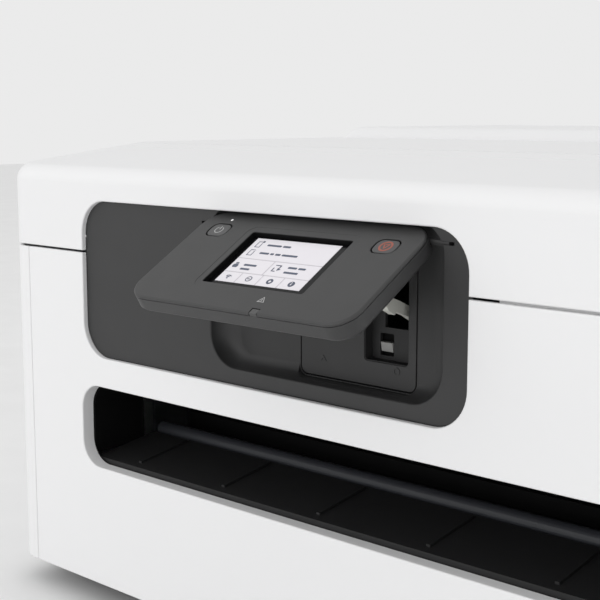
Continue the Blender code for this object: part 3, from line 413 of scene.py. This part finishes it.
def front_cover():
    outline = growing(COVER_L, COVER_R, SKIRT_Z, COVER_TOP + 0.3, 0.6, 3)
    cover = pillow("front_cover_shell", "y", FRONT, FRONT + WALL, outline, 0.9, 0.4, WHITE)
    hole = growing(OUT_L, OUT_R, OUT_Z0, OUT_Z1, OUT_CORNER, 14)
    join(cover, prism("ring", "y", FRONT + 1.5, FRONT + OUT_RETURN, hole(3)))
    pane = span("ink_window")
    window = growing(pane[0] - PANE_GAP, pane[1] + PANE_GAP, pane[4] - PANE_GAP, pane[5] + PANE_GAP, 8)
    cut(cover, lipped("outlet", "y", FRONT, 20, hole, 0.9), notch("bezel_notch", LIP),
        lipped("window", "y", FRONT, 20, window, 0.8))
    # Tongue behind the parting gap, from just right of the housing; it stands clear behind the lids' lips.
    x = (NOTCH_R + 14, COVER_R - 6)
    join(cover, block("tongue_foot", x, (FRONT + 1.6, FRONT + 5.1), (COVER_TOP - 6, COVER_TOP - 2.5)))
    join(cover, block("tongue", x, (FRONT + 3.7, FRONT + 5.1), (COVER_TOP - 6, LID_Z0 + 2)))
    split = span("top_cover")[1]
    depth, height = (FRONT + 3.3, FRONT + 6), (LID_Z0 - 1.4, LID_Z0 + 5)
    cut(cover, block("split_notch", (split - 5, split + 6), depth, height))
    settle(smooth(cover), "case", "white_cover", "front_cover")


def side_cover(name, sign):
    x0, x1, _, y1, z0, z1 = span(name)
    seam = x0 if sign > 0 else x1
    outer = rounded(LEFT, RIGHT, FRONT, REAR, CASE_CORNER, 12)
    inner = rounded(LEFT + WALL, RIGHT - WALL, FRONT + WALL, REAR - WALL, CASE_CORNER - WALL, 12)
    cover = prism(name + "_shell", "z", z0, z1 + 0.3, outer, WHITE)
    cutters = [prism("hollow", "z", z0 - 5, z1 + 5, inner)]
    far = -RIGHT - 10 if sign > 0 else RIGHT + 10
    reach = (min(far, seam), max(far, seam))
    cutters.append(block("trim", reach, (FRONT - 10, REAR + 10), (z0 - 5, z1 + 5)))
    if sign > 0:
        box = span("maintenance_cartridge")
        cutters.append(block("door", (RIGHT - 8, RIGHT + 8), (box[2] - 1, box[3] + 1),
                             (box[4] - 1, box[5] + 1)))
    cut(cover, *cutters)
    settle(smooth(cover, 0.8), "case", "white_cover", name)


def screw(x, z, y, radius=3.0):
    """Cross-head screw that faces the rear."""
    head = pillow("screw", "y", y - 1.4, y,
                  growing(x - radius, x + radius, z - radius, z + radius, radius - 0.05, 6),
                  0.1, 0.5)
    arms = ((1.9, 0.4), (0.4, 1.9))
    bars = [block("bar", (x - a, x + a), (y - 0.9, y + 1), (z - b, z + b)) for a, b in arms]
    return cut(head, *bars)


def rear_cover():
    x0, x1, y0, y1, z0, z1 = span("rear_cover")
    cover = pillow("rear_cover_shell", "y", y0, y1, growing(x0, x1, z0, z1, 0.6, 3), 0.4, 0.9, WHITE)
    inlet = span("ac_inlet")
    hole = growing(inlet[0] - 1, inlet[1] + 1, inlet[4] - 1, inlet[5] + 1, 3, 5)
    cut(cover, lipped("inlet_hole", "y", y1, 12, hole, 0.6, -1))
    pitch, middle, half_w, half_h = 8.0, 96.0, 1.5, 17.0
    for first, count in ((-150.0, 18), (250.0, 12)):
        for k in range(count):
            x = first + pitch * k
            slot = growing(x - half_w, x + half_w, middle - half_h, middle + half_h, 1.4, 4)
            cut(cover, lipped("vent", "y", y1, 12, slot, 0.4, -1))
    places = [(x, z) for x in (x0 + 22, -200.0, 200.0, x1 - 22) for z in (z0 + 18, z1 - 18)]
    bore = 3.8
    heads = []
    for x, z in places:
        well = growing(x - bore, x + bore, z - bore, z + bore, 3.7, 6)
        cut(cover, lipped("counterbore", "y", y1, 1.9, well, 0.4, -1))
        heads.append(screw(x, z, y1 - 0.5))
    settle(smooth(cover), "case", "white_cover", "rear_cover")
    screws = heads[0]
    screws.name = "rear_cover_screws"
    join(screws, *heads[1:])
    screws.data.materials.clear()
    screws.data.materials.append(STEEL)
    settle(smooth(screws), "case", "steel")


def lid_shell(name, x, y, radii, top, edge, marks, z_low):
    """Lid with a bottom opening: walls up to a rounded rim, and a top whose height depends on y."""
    steps = 8
    sides = [m for m in marks if y[0] + max(radii[:2]) + edge < m < y[1] - max(radii[2:]) - edge]

    def outline(inset):
        r = tuple(max(v - inset, 0.3) for v in radii)
        ring = rounded(x[0] + inset, x[1] - inset, y[0] + inset, y[1] - inset, r, steps)
        right = [(x[1] - inset, m) for m in sides]
        left = [(x[0] + inset, m) for m in reversed(sides)]
        half = 2 * (steps + 1)
        return ring[:half] + right + ring[half:] + left

    def rings(bm, inset, drop, r):
        made = []
        if drop == 0:
            low = [(z_low, inset + 0.5), (z_low + 0.5, inset)]
        else:
            low = [(z_low, inset - 0.4), (z_low + 0.4, inset)]
        for z, i in low:
            made.append([bm.verts.new(Vector((a, b, z)) * MM) for a, b in outline(i)])
        edge_steps = 6
        for k in range(edge_steps + 1):
            t = math.radians(90 * k / edge_steps)
            i = inset + r * (1 - math.cos(t))
            ring = [Vector((a, b, top(b) - drop - r + r * math.sin(t))) for a, b in outline(i)]
            made.append([bm.verts.new(point * MM) for point in ring])
        return made

    bm = bmesh.new()
    skins = [rings(bm, 0, 0, edge), rings(bm, WALL, WALL, max(edge - WALL, 1.5))]
    count = len(skins[0][0])
    for skin in skins + [[skins[0][0], skins[1][0]]]:
        for low, high in zip(skin, skin[1:]):
            for k in range(count):
                n = (k + 1) % count
                bm.faces.new((low[k], low[n], high[n], high[k]))
    half = 2 * (steps + 1)
    for skin in skins:
        last = skin[-1]
        rights = last[half:half + len(sides)]
        lefts = last[::-1][:len(sides)]
        if not sides:
            bm.faces.new(last)
            continue
        bm.faces.new(last[:half] + [rights[0], lefts[0]])
        for k in range(len(sides) - 1):
            bm.faces.new((lefts[k], rights[k], rights[k + 1], lefts[k + 1]))
        bm.faces.new([rights[-1]] + last[half + len(sides):len(last) - len(sides)] + [lefts[-1]])
    return new_object(name, bm, WHITE)


TOP_FRONT_Z, TOP_RISE, RISE_RUN, RISE_POWER = 264.4, 12.6, 104.0, 0.92
REAR_LIP_TOP, SIDE_LIP_TOP = 263, 255


def front_top(y):
    """Height of the front lids' top: a long soft rise behind the front edge, then flat."""
    t = min((y - FRONT) / RISE_RUN, 1.0)
    return TOP_FRONT_Z + TOP_RISE * (t ** RISE_POWER if t > 0 else 0)


def front_lid(name, x, radii, node, body, with_notch):
    y_rear = span(node)[3]
    marks = [FRONT + 28 + 7.0 * k for k in range(12)] + [FRONT + 160, FRONT + 230]
    lid = lid_shell(name, x, (FRONT, y_rear), radii, front_top, 9.0, marks, LID_Z0 - 0.3)
    if with_notch:
        cut(lid, notch("lid_notch", LIP))
    # The lips at the rear and beside the other lid are cut back, as the hinge and the gap need.
    inner = (x[0] + WALL, x[1] - WALL)
    cutters = [block("rear_lip", inner, (y_rear - 8, y_rear + 5), (LID_Z0 - 5, REAR_LIP_TOP))]
    # A thin groove and a faint line run along the top, with a narrow band between them.
    for y, wide, deep in ((FRONT + 98, 1.2, 1.0), (FRONT + 80, 0.8, 0.3)):
        z = front_top(y)
        cutters.append(block("line", (x[0] - 5, x[1] + 5), (y, y + wide), (z - deep, z + 9)))
    side = (x[1] - 9, x[1] + 5) if with_notch else (x[0] - 5, x[0] + 9)
    cutters.append(block("side_lip", side, (FRONT + 6, y_rear - WALL), (LID_Z0 - 5, SIDE_LIP_TOP)))
    settle(smooth(cut(lid, *cutters)), body, "white_cover", node)


def roll_lid():
    x0, x1, y0, y1, z0, z1 = span("roll_cover")
    flap = span("sheet_feed_flap")

    def top(y):
        return z1 - 5.0 * max(0.0, 1 - (y - y0) / 12.0) ** 2

    radii = (1, 1, CASE_CORNER, CASE_CORNER)
    marks = [y0 + 30, y0 + 60, y1 - 50]
    lid = lid_shell("roll_cover_shell", (x0, x1), (y0, y1), radii, top, 14.0, marks, z0 - 0.3)
    chute = block("chute", (flap[0] - 2.6, flap[1] + 2.6), (flap[2] - 2.6, flap[3] + 3), (z1 - 17, z1 - 1))
    hole = growing(flap[0] - 0.6, flap[1] + 0.6, flap[2] - 0.6, flap[3] + 1.0, 1.5, 4)
    join(lid, chute)
    cut(lid, block("front_lip", (x0 + WALL, x1 - WALL), (y0 - 5, y0 + 8), (z0 - 5, REAR_LIP_TOP)),
        lipped("slot", "z", z1, 40, hole, 0.5, -1))
    settle(smooth(lid), "roll_lid", "white_cover", "roll_cover")


def flap():
    x0, x1, y0, y1, z0, z1 = span("sheet_feed_flap")
    piece = pillow("sheet_feed_flap_plate", "z", z0, z1, growing(x0, x1, y0, y1, 2, 6), 0.4, 0.6, WHITE)
    middle = (x0 + x1) / 2
    grip = prism("grip", "x", middle - 20, middle + 20, circle(y0 - 1.5, z1 + 1.5, 4.2))
    settle(smooth(cut(piece, grip)), "sheet_flap", "white_cover", "sheet_feed_flap")


# ---------------------------------------------------------------- control housing
SLOT_Z0 = span("release_lever")[4] + 1.2
SHIELD_DEPTH = 70.0           # how far behind the front the dust shield stands
BASIN_L, BASIN_R, BASIN_Z0, BASIN_Z1 = HOUSE_L + 106.7, HOUSE_R - 16.2, HOUSE_Z0 + 8.7, HOUSE_Z1 + 1.3
BASIN_LIP = 1.1
# Control points of the basin's wall: their depths, and how far the sides and the lower edge come in.
DISH_DEPTHS, DISH_SIDES, DISH_RISES = (5.5, 10.5), (0.9, 4.5, 13.5), (0.7, 2.4, 7.2)


def housing():
    outline = growing(HOUSE_L, HOUSE_R, HOUSE_Z0, HOUSE_Z1, NOTCH_CORNER - 0.3, 14)
    body = pillow("control_housing_shell", "y", HOUSE_Y, HOUSE_Y + WALL, outline, 1.0, 0.3, HOUSING)
    join(body, prism("basin_block", "y", HOUSE_Y + 1.5, HOUSE_BACK,
                     rounded(BASIN_L - 5, BASIN_R + 5, BASIN_Z0 - 4, HOUSE_Z1, 14)))

    def basin(shrink, rise=None):
        low, high = 18 - shrink * 0.8, 16 - shrink * 0.2
        rise = shrink if rise is None else rise
        return rounded(BASIN_L + shrink, BASIN_R - shrink, BASIN_Z0 + rise, BASIN_Z1,
                       (low, low, high, high), 12)

    depth = PLATE_Y - HOUSE_Y
    sections = [(HOUSE_Y - 6, basin(-BASIN_LIP))]
    lip_steps = 4
    for k in range(lip_steps + 1):
        t = math.radians(90 * k / lip_steps)
        sections.append((HOUSE_Y + BASIN_LIP * (1 - math.cos(t)), basin(-BASIN_LIP * (1 - math.sin(t)))))
    steps = 12
    for k in range(1, steps + 1):
        t = k / steps
        # Cubic down the wall and out along the floor.
        w = ((1 - t) ** 3, 3 * (1 - t) ** 2 * t, 3 * (1 - t) * t ** 2, t ** 3)
        down = w[0] * BASIN_LIP + w[1] * DISH_DEPTHS[0] + w[2] * DISH_DEPTHS[1] + w[3] * depth
        side = w[1] * DISH_SIDES[0] + w[2] * DISH_SIDES[1] + w[3] * DISH_SIDES[2]
        rise = w[1] * DISH_RISES[0] + w[2] * DISH_RISES[1] + w[3] * DISH_RISES[2]
        sections.append((HOUSE_Y + down, basin(side, rise)))
    cut(body, loft("dish", "y", sections))
    plate = growing(PLATE_L - 0.6, PLATE_R + 0.6, PLATE_Z0 - 0.6, PLATE_Z1 + 0.6, 4.4, 6)
    cut(body, lipped("plate_opening", "y", PLATE_Y, 12, plate, 0.4))
    bores = [prism("pin_bore", "x", x - 6, x + 6, circle(HINGE_Y, HINGE_Z, 1.8)) for x in (BASIN_L, BASIN_R)]
    cut(body, *bores)
    settle(smooth(body, angle=50), "case", "charcoal_plastic", "control_housing")


def service_plate():
    outline = growing(PLATE_L, PLATE_R, PLATE_Z0, PLATE_Z1, 4, 6)
    plate = pillow("service_plate_cover", "y", PLATE_Y, PLATE_Y + 2.5, outline, 0.4, 0.2, HOUSING)
    lever = span("release_lever")
    slot_l, slot_r = lever[0] + 2.0, lever[1] - 2.0
    win_l, win_r, win_z0, win_z1 = slot_l - 5.0, slot_r + 13.0, SLOT_Z0 - 2.0, SLOT_Z0 + 39.5
    window = growing(win_l, win_r, win_z0, win_z1, 1.5, 5)
    cut(plate, lipped("window", "y", PLATE_Y, 6, lambda g: window(g + 0.4), 0.4))
    # The pocket behind the window is charcoal painted darker, as painted shade in the recess.
    pocket = prism("lever_pocket", "y", PLATE_Y + 0.5, PLATE_Y + 8, window(2), POCKET_PAINTED_SHADE)
    cut(pocket, prism("hollow", "y", PLATE_Y - 2, PLATE_Y + 6, window(0)),
        prism("collar", "y", PLATE_Y - 2, PLATE_Y + 2.6, window(9)))
    rim = prism("lever_pocket_rim", "y", PLATE_Y + 0.5, PLATE_Y + 2.7, window(0.38), POCKET_PAINTED_SHADE)
    join(pocket, cut(rim, prism("hollow", "y", PLATE_Y - 2, PLATE_Y + 6, window(0))))
    arm_way = rect(win_l + 8, win_r, SLOT_Z0 + 14, win_z1 + 3.5)
    slot = rounded(slot_l, slot_r, SLOT_Z0, SLOT_Z0 + 11, 0.8, 4)
    cut(pocket, prism("arm_way", "y", PLATE_Y + 4, PLATE_Y + 15, arm_way),
        prism("slot", "y", PLATE_Y, PLATE_Y + 15, slot))
    settle(smooth(pocket), "case", "charcoal_plastic")
    # Dust shield well behind the plate, which keeps daylight out of the arm's hole.
    screened = growing(win_l - 70, win_r + 30, win_z0 - 20, win_z1 + 16, 4, 4)
    shield_y = FRONT + SHIELD_DEPTH
    shield = pillow("dust_shield", "y", shield_y, shield_y + 2, screened, 0.4, 0.4, HOUSING)
    settle(smooth(shield), "case", "black_plastic")
    # Two shallow raised marks, an arrow and a ring.
    arrow_x, ring_x, mark_z = PLATE_L + 15, PLATE_L + 62, PLATE_Z0 + 9
    arrow = [(arrow_x - 2.2, mark_z - 1), (arrow_x, mark_z + 2), (arrow_x + 2.2, mark_z - 1),
             (arrow_x + 1.2, mark_z - 1), (arrow_x, mark_z + 0.6), (arrow_x - 1.2, mark_z - 1)]
    join(plate, prism("arrow", "y", PLATE_Y - 0.25, PLATE_Y + 1, arrow))
    ring = prism("ring", "y", PLATE_Y - 0.25, PLATE_Y + 1, circle(ring_x, mark_z, 2.0, 24))
    cut(ring, prism("ring_hole", "y", PLATE_Y - 2, PLATE_Y + 2, circle(ring_x, mark_z, 1.3, 24)))
    join(plate, ring)
    settle(smooth(plate), "case", "charcoal_plastic", "service_plate")


def lever_and_arm():
    x0, x1, y0, y1, z0, _ = span("release_lever")
    tab_z = SLOT_Z0 + 1.7
    profile = [(y0 + 0.9, tab_z + 0.2), (y0 + 7.5, tab_z), (y0 + 7.5, tab_z + 5), (y0, tab_z + 5)]
    # The tab is painted dark grey, as painted shade in the pocket.
    tab = prism("release_lever_tab", "x", x0 + 2.6, x1 - 2.6, profile, LEVER_PAINTED_SHADE)
    settle(smooth(tab, 0.4), "latch", "light_grey_plastic", "release_lever")
    plate = growing(x0, x1, z0, z0 + 13, 1, 4)
    # The lever's flange is painted near-black, as painted shade inside the pocket.
    flange = pillow("release_lever_flange", "y", y0 + 3.3, y0 + 5.3, plate, 0.3, 0.3, BLACK_PAINTED_SHADE)
    settle(smooth(flange), "latch", "light_grey_plastic")


# ---------------------------------------------------------------- tilting panel
PANEL_L, PANEL_R = span("panel_front_shell")[:2]
PANEL_FACE = HINGE_Y - 5.2
PANEL_TOP = HINGE_Z + 4.2
PANEL_H = 73.4
PANEL_CORNER = 13
DEPTH_TOP, DEPTH_FOOT = 9.0, 12.0    # the panel is thicker at its lower edge
SEAM = 1.6                    # depth of the dark line round the panel's edge
POWER, STOP = (-283.0, 15.9), (-172.8, 16.9)
SCREEN_L, SCREEN_R, SCREEN_V0, SCREEN_V1 = -258.5, -193.5, 15.4, 55.7
LAMP_X, LAMP_V, LAMP_HALF = -210.0, 70.0, 2.3
LED_X, LED_V = -281.2, 7.0
SYMBOL_X, SYMBOL_V = -211.7, 64.0
KEY_HALF_W, KEY_HALF_H, KEY_CORNER = 6.5, 4.9, 3.6
KEY_GAP = 0.7


def at_v(v):
    return PANEL_TOP - v


def panel_outline(grow):
    return rounded(PANEL_L - grow, PANEL_R + grow, PANEL_TOP - PANEL_H - grow, PANEL_TOP + grow,
                   PANEL_CORNER + grow, 14)


def key_outline(centre, grow=0.0):
    x, v = centre
    w, h = KEY_HALF_W + grow, KEY_HALF_H + grow
    return rounded(x - w, x + w, at_v(v) - h, at_v(v) + h, KEY_CORNER + grow, 8)


def panel():
    face = PANEL_FACE
    # The panel's pieces take the lighter charcoal, painted light for its upward tilt.
    shell = pillow("panel_front_bezel", "y", face, face + SEAM, panel_outline, 1.2, 0.05, PANEL_PAINTED_LIGHT, 5)
    screen = growing(SCREEN_L, SCREEN_R, at_v(SCREEN_V1), at_v(SCREEN_V0), 0.8, 4)
    cutters = [lipped("recess", "y", face, 0.14, lambda g: screen(g + 4.5), 0.13),
               lipped("screen", "y", face, 9, lambda g: screen(g + 0.5), 0.3)]
    for centre in (POWER, STOP):
        hole = lambda grow, c=centre: key_outline(c, KEY_GAP + grow)
        cutters.append(lipped("key_hole", "y", face, 9, hole, 0.3))
    cutters.append(block("lamp", (LAMP_X - 2.6, LAMP_X + 2.6), (face - 5, face + 8),
                         (at_v(PANEL_H) - 5, at_v(LAMP_V) + 0.3)))
    cutters.append(prism("led", "y", face - 3, face + 8, circle(LED_X, at_v(LED_V), 0.9, 20)))
    cut(shell, *cutters)
    settle(smooth(tilted(shell)), "panel", "charcoal_plastic", "panel_front_shell")

    # Black liner of the display's opening, painted darker still as shade in the opening.
    liner = prism("screen_opening_liner", "y", face + 0.5, face + 2.5, screen(0.48), BLACK_PAINTED_SHADE)
    cut(liner, prism("hole", "y", face - 2, face + 6, screen(0)))
    settle(smooth(tilted(liner)), "panel", "charcoal_plastic")

    # The back edge is taken in far enough to clear the basin's wall when the panel is closed.
    edge = [(SEAM + 0.3, 0.0), (8.2, 0.0), (9.1, 0.6), (10.0, 1.35), (11.0, 2.45), (11.6, 3.3),
            (DEPTH_FOOT, 4.1)]
    back = loft("panel_back_case", "y", [(face + d, panel_outline(-inset)) for d, inset in edge], PANEL_PAINTED_LIGHT)
    low, high = at_v(PANEL_H) - 5, at_v(0) + 5
    wedge = [(face + DEPTH_FOOT + 0.2, low), (face + DEPTH_FOOT + 8, low),
             (face + DEPTH_FOOT + 8, high), (face + DEPTH_TOP - 0.2, high)]
    hollow = prism("hollow", "y", face, face + DEPTH_TOP - 1.7, panel_outline(-2.0))
    cut(back, prism("wedge", "x", PANEL_L - 5, PANEL_R + 5, wedge), hollow)
    settle(smooth(tilted(back)), "panel", "charcoal_plastic", "panel_back_shell")

    # Inner frame that closes the seam and carries the glass; it makes the thin dark line round the edge, its
    # black painted darker still as painted shade.
    core = prism("panel_inner_frame", "y", face + 1.4, face + 6.5, panel_outline(-0.9), BLACK_PAINTED_SHADE)
    cut(core, prism("screen_well", "y", face, face + 4.0, screen(0.6)),
        *[prism("key_well", "y", face, face + 9, key_outline(c, 0.9)) for c in (POWER, STOP)])
    settle(smooth(tilted(core)), "panel", "charcoal_plastic")


def strokes(name, mat, shapes, depth, body="panel", slot="screen"):
    """Flat printed marks as thin plates: shapes are outlines in (x, z) with the panel closed."""
    bm = bmesh.new()
    for outline in shapes:
        ends = [[bm.verts.new(Vector((a, depth + d, b)) * MM) for a, b in outline] for d in (0, 0.12)]
        for k in range(len(outline)):
            n = (k + 1) % len(outline)
            bm.faces.new((ends[0][k], ends[0][n], ends[1][n], ends[1][k]))
        bm.faces.new(ends[0])
        bm.faces.new(ends[1])
    obj = new_object(name, bm, mat)
    tilted(obj)
    return settle(obj, body, slot)


def annulus(x, z, outer, inner, start=0, turn=360, steps=32):
    """Ring or arc of a ring as quads."""
    parts = []
    for k in range(steps):
        a, b = (math.radians(start + turn * (k + e) / steps) for e in (0, 1))
        parts.append([(x + inner * math.cos(a), z + inner * math.sin(a)),
                      (x + outer * math.cos(a), z + outer * math.sin(a)),
                      (x + outer * math.cos(b), z + outer * math.sin(b)),
                      (x + inner * math.cos(b), z + inner * math.sin(b))])
    return parts


def bar(x0, x1, z0, z1):
    return rounded(x0, x1, z0, z1, min(x1 - x0, z1 - z0) * 0.3, 3)


def screen():
    face = PANEL_FACE + 2.35
    left, width, top, height = -254.9, 55.3, at_v(16.9), 35.0

    def at(u, v):
        return left + u * width, top - v * height

    def box_uv(u0, u1, v0, v1):
        (x0, z1), (x1, z0) = at(u0, v0 + 0.01), at(u1, v1 - 0.008)
        return bar(x0, x1, z0, z1)

    border = SCREEN_L - 0.4, SCREEN_R + 0.4, at_v(SCREEN_V1 + 0.4), at_v(SCREEN_V0 - 0.4)
    glass = pillow("screen_glass", "y", face + 0.15, face + 3.0, growing(*border, 1, 4), 0.2, 0.2,
                   GLASS_DARK, 2)
    settle(smooth(tilted(glass)), "panel", "screen", "touch_screen")
    strokes("screen_picture", SCREEN, [rect(left, left + width, top - height, top)], face)
    upper, lower = 0.47, 0.78
    lines = [rect(left, left + width, at(0, v + 0.006)[1], at(0, v - 0.006)[1]) for v in (upper, lower)]
    lines.append(rect(at(0.455, 0)[0], at(0.463, 0)[0], at(0, lower)[1], at(0, upper)[1]))
    foot, head = at(0, 1.0)[1], at(0, lower)[1]
    lines += [rect(at(u - 0.003, 0)[0], at(u + 0.003, 0)[0], foot, head) for u in (0.235, 0.485, 0.735)]
    strokes("screen_dividers", SCREEN_LINE, lines, face - 0.12)
    icons = [box_uv(0.19, 0.36, 0.11, 0.165), box_uv(0.38, 0.47, 0.11, 0.165),
             box_uv(0.19, 0.30, 0.295, 0.35), box_uv(0.32, 0.36, 0.295, 0.35),
             box_uv(0.38, 0.44, 0.295, 0.35), box_uv(0.46, 0.64, 0.295, 0.35),
             box_uv(0.66, 0.76, 0.54, 0.595), box_uv(0.78, 0.86, 0.54, 0.595),
             box_uv(0.66, 0.82, 0.645, 0.70), box_uv(0.15, 0.30, 0.58, 0.635),
             box_uv(0.15, 0.26, 0.67, 0.725)]
    for u, v in ((0.085, 0.14), (0.085, 0.33)):
        x, z = at(u, v)
        icons += [bar(x - 1.6, x + 1.6, z + 2.0, z + 2.3), bar(x - 1.6, x + 1.6, z - 2.3, z - 2.0),
                  bar(x - 1.6, x - 1.3, z - 2.2, z + 2.2), bar(x + 1.3, x + 1.6, z - 2.2, z + 1.2)]
    x, z = at(0.115, 0.075)
    icons.append(circle(x, z, 0.7, 16))
    x, z = at(0.555, 0.61)
    icons += [bar(x - 2.6, x + 1.2, z + 2.0, z + 2.5), bar(x + 0.6, x + 1.2, z - 0.5, z + 2.4),
              bar(x - 2.6, x - 2.1, z - 2.4, z + 0.4),
              [(x + 0.2, z + 0.4), (x + 2.4, z - 0.6), (x + 0.4, z - 1.6)],
              bar(x - 2.0, x - 0.2, z - 2.4, z - 1.9)]
    x, z = at(0.06, 0.63)
    icons += [bar(x - 1.7, x + 1.7, z - 1.8, z + 0.6), bar(x - 1.0, x + 1.0, z + 0.9, z + 2.0)]
    x, z = at(0.11, 0.895)
    icons += annulus(x, z - 1.2, 2.6, 2.1, 45, 90, 10) + annulus(x, z - 1.2, 1.6, 1.1, 45, 90, 8)
    icons.append(circle(x, z - 1.0, 0.45, 12))
    x, z = at(0.36, 0.89)
    icons += annulus(x, z, 1.9, 1.5, 0, 360, 20) + [bar(x - 0.9, x + 0.9, z - 0.25, z + 0.25)]
    x, z = at(0.61, 0.89)
    icons += annulus(x, z, 1.9, 0.85, 0, 360, 20)
    x, z = at(0.86, 0.89)
    icons.append(circle(x, z, 1.9, 24))
    strokes("screen_icons", SCREEN_DARK, icons, face - 0.12)
    strokes("screen_icon_mark", SCREEN,
            [bar(x - 0.25, x + 0.25, z - 1.0, z + 0.35), circle(x, z + 0.95, 0.3, 10)], face - 0.24)


def keys():
    face = PANEL_FACE
    for name, centre, body in (("power", POWER, "power_key"), ("stop", STOP, "stop_key")):
        outline = lambda grow, c=centre: key_outline(c, grow)
        cap = pillow(f"{name}_button_cap", "y", face + 0.1, face + 4.2, outline, 0.5, 0.2, KEY, 4)
        settle(smooth(tilted(cap)), body, "charcoal_plastic", f"{name}_button")
    x, z = POWER[0], at_v(POWER[1])
    marks = annulus(x, z, 2.7, 2.2, 125, 290, 28) + [bar(x - 0.25, x + 0.25, z + 0.4, z + 3.1)]
    strokes("power_button_mark", PRINT_GREY, marks, face + 0.05, "power_key", "charcoal_plastic")
    x, z = STOP[0], at_v(STOP[1])
    marks = annulus(x, z, 3.7, 2.7, 0, 360, 32)
    marks += [[(x - 1.9, z + 1.3), (x - 1.3, z + 1.7), (x + 0.2, z - 1.9), (x - 0.4, z - 1.9)],
              [(x + 1.9, z + 1.3), (x + 1.3, z + 1.7), (x - 0.2, z - 1.2), (x + 0.2, z - 1.9)],
              bar(x - 1.7, x + 1.7, z + 1.2, z + 1.7)]
    strokes("stop_button_mark", PRINT_RED, marks, face + 0.05, "stop_key", "charcoal_plastic")
    lens = circle(LED_X, at_v(LED_V), 0.75, 20)
    led = prism("status_led_lens", "y", face + 0.1, face + 3, lens, LED_WHITE)
    settle(smooth(tilted(led)), "panel", "lamp")
    lamp = block("status_lamp_lens", (LAMP_X - LAMP_HALF, LAMP_X + LAMP_HALF), (face + 0.15, face + 3.1),
                 (at_v(PANEL_H) + 0.1, at_v(LAMP_V)), LAMP)
    settle(smooth(tilted(lamp), 0.3), "panel", "lamp", "status_lamp")
    x, z = SYMBOL_X, at_v(SYMBOL_V)
    side, inner = 2.6, 0.72
    angles = [math.radians(a) for a in (90, 210, 330)]
    corners = [(x + side * math.cos(a), z + side * math.sin(a)) for a in angles]
    tri = []
    for k in range(3):
        (ax, az), (bx, bz) = corners[k], corners[(k + 1) % 3]
        tri.append([(ax, az), (bx, bz), (x + (bx - x) * inner, z + (bz - z) * inner),
                    (x + (ax - x) * inner, z + (az - z) * inner)])
    tri.append(bar(x - 0.2, x + 0.2, z - 0.7, z + 0.9))
    strokes("panel_symbol", PRINT_GREY, tri, face - 0.05, "panel", "charcoal_plastic")


# ---------------------------------------------------------------- the remaining CAD nodes
FINISH = {
    "white_cover": WHITE, "charcoal_plastic": HOUSING, "black_plastic": BLACK,
    "light_grey_plastic": LIGHT_GREY, "steel": STEEL, "rubber": RUBBER, "roller_grey": ROLLER,
    "nylon": NYLON, "brass": BRASS, "circuit_board": BOARD, "smoked_clear": SMOKED,
    "screen": GLASS_DARK, "lamp": LAMP,
}
INKS = {
    "ink_black": (0.015, 0.015, 0.017), "ink_cyan": (0.0, 0.28, 0.5),
    "ink_magenta": (0.5, 0.02, 0.18), "ink_yellow": (0.75, 0.55, 0.02),
}
LEVELS_MM = {"ink_black": 158.0, "ink_cyan": 141.0, "ink_magenta": 149.0, "ink_yellow": 133.0}


def filled(name, ink, level):
    """Milky tank wall, coloured by the ink up to its level."""
    mat = plastic(name + "_behind_plastic", ink, 0.22, grain=0.03, Subsurface_Weight=0.05)
    tree, bsdf = mat.node_tree, mat.node_tree.nodes["Principled BSDF"]
    coords = tree.nodes.new("ShaderNodeTexCoord")
    split = tree.nodes.new("ShaderNodeSeparateXYZ")
    step = tree.nodes.new("ShaderNodeMapRange")
    blur_m = 0.0004
    step.inputs["From Min"].default_value = level * MM - blur_m
    step.inputs["From Max"].default_value = level * MM + blur_m
    mix = tree.nodes.new("ShaderNodeMix")
    mix.data_type = "RGBA"
    mix.inputs["B"].default_value = (0.62, 0.63, 0.64, 1)
    tree.links.new(coords.outputs["Object"], split.inputs["Vector"])
    tree.links.new(split.outputs["Z"], step.inputs["Value"])
    tree.links.new(step.outputs["Result"], mix.inputs["Factor"])
    tree.links.new(bsdf.inputs["Base Color"].links[0].from_socket, mix.inputs["A"])
    tree.links.new(mix.outputs["Result"], bsdf.inputs["Base Color"])
    return mat


for slot_name, tone in INKS.items():
    FINISH[slot_name] = filled(slot_name, tone, LEVELS_MM[slot_name])


SMALL_EDGES = ("feed_gear", "feed_pinion", "belt", "panel_hinge")
SMALL_EDGE_MM, EDGE_MM = 0.12, 0.4


def finish_cad_nodes():
    slots = {row["node"]: row["material_slot"] for row in frame["record"]["subparts"]}
    for name, obj in frame["nodes"].items():
        mat = TURNED if "pulley" in name else FINISH[slots[name]]
        # The outlet's liner and the platen take the darkest black, as painted shade inside the outlet.
        if name in ("outlet_liner", "platen"):
            mat = BLACK_PAINTED_SHADE
        obj.data.materials.clear()
        obj.data.materials.append(mat)
        edge = obj.modifiers.new("edge", "BEVEL")
        edge.width = (SMALL_EDGE_MM if name.startswith(SMALL_EDGES) else EDGE_MM) * MM
        edge.segments = 2
        edge.limit_method = "ANGLE"
        edge.angle_limit = math.radians(40)


def main():
    camera()
    studio()
    front_cover()
    side_cover("left_side_cover", -1)
    side_cover("right_side_cover", 1)
    x0, x1 = span("top_cover")[:2]
    front_lid("top_cover_shell", (x0, x1), (CASE_CORNER, 1, 1, 1), "top_cover", "access_lid", True)
    x0, x1 = span("ink_tank_lid")[:2]
    front_lid("ink_tank_lid_shell", (x0, x1), (1, CASE_CORNER, 1, 1), "ink_tank_lid", "tank_lid", False)
    rear_cover()
    roll_lid()
    flap()
    housing()
    service_plate()
    lever_and_arm()
    panel()
    screen()
    keys()
    finish_cad_nodes()


main()
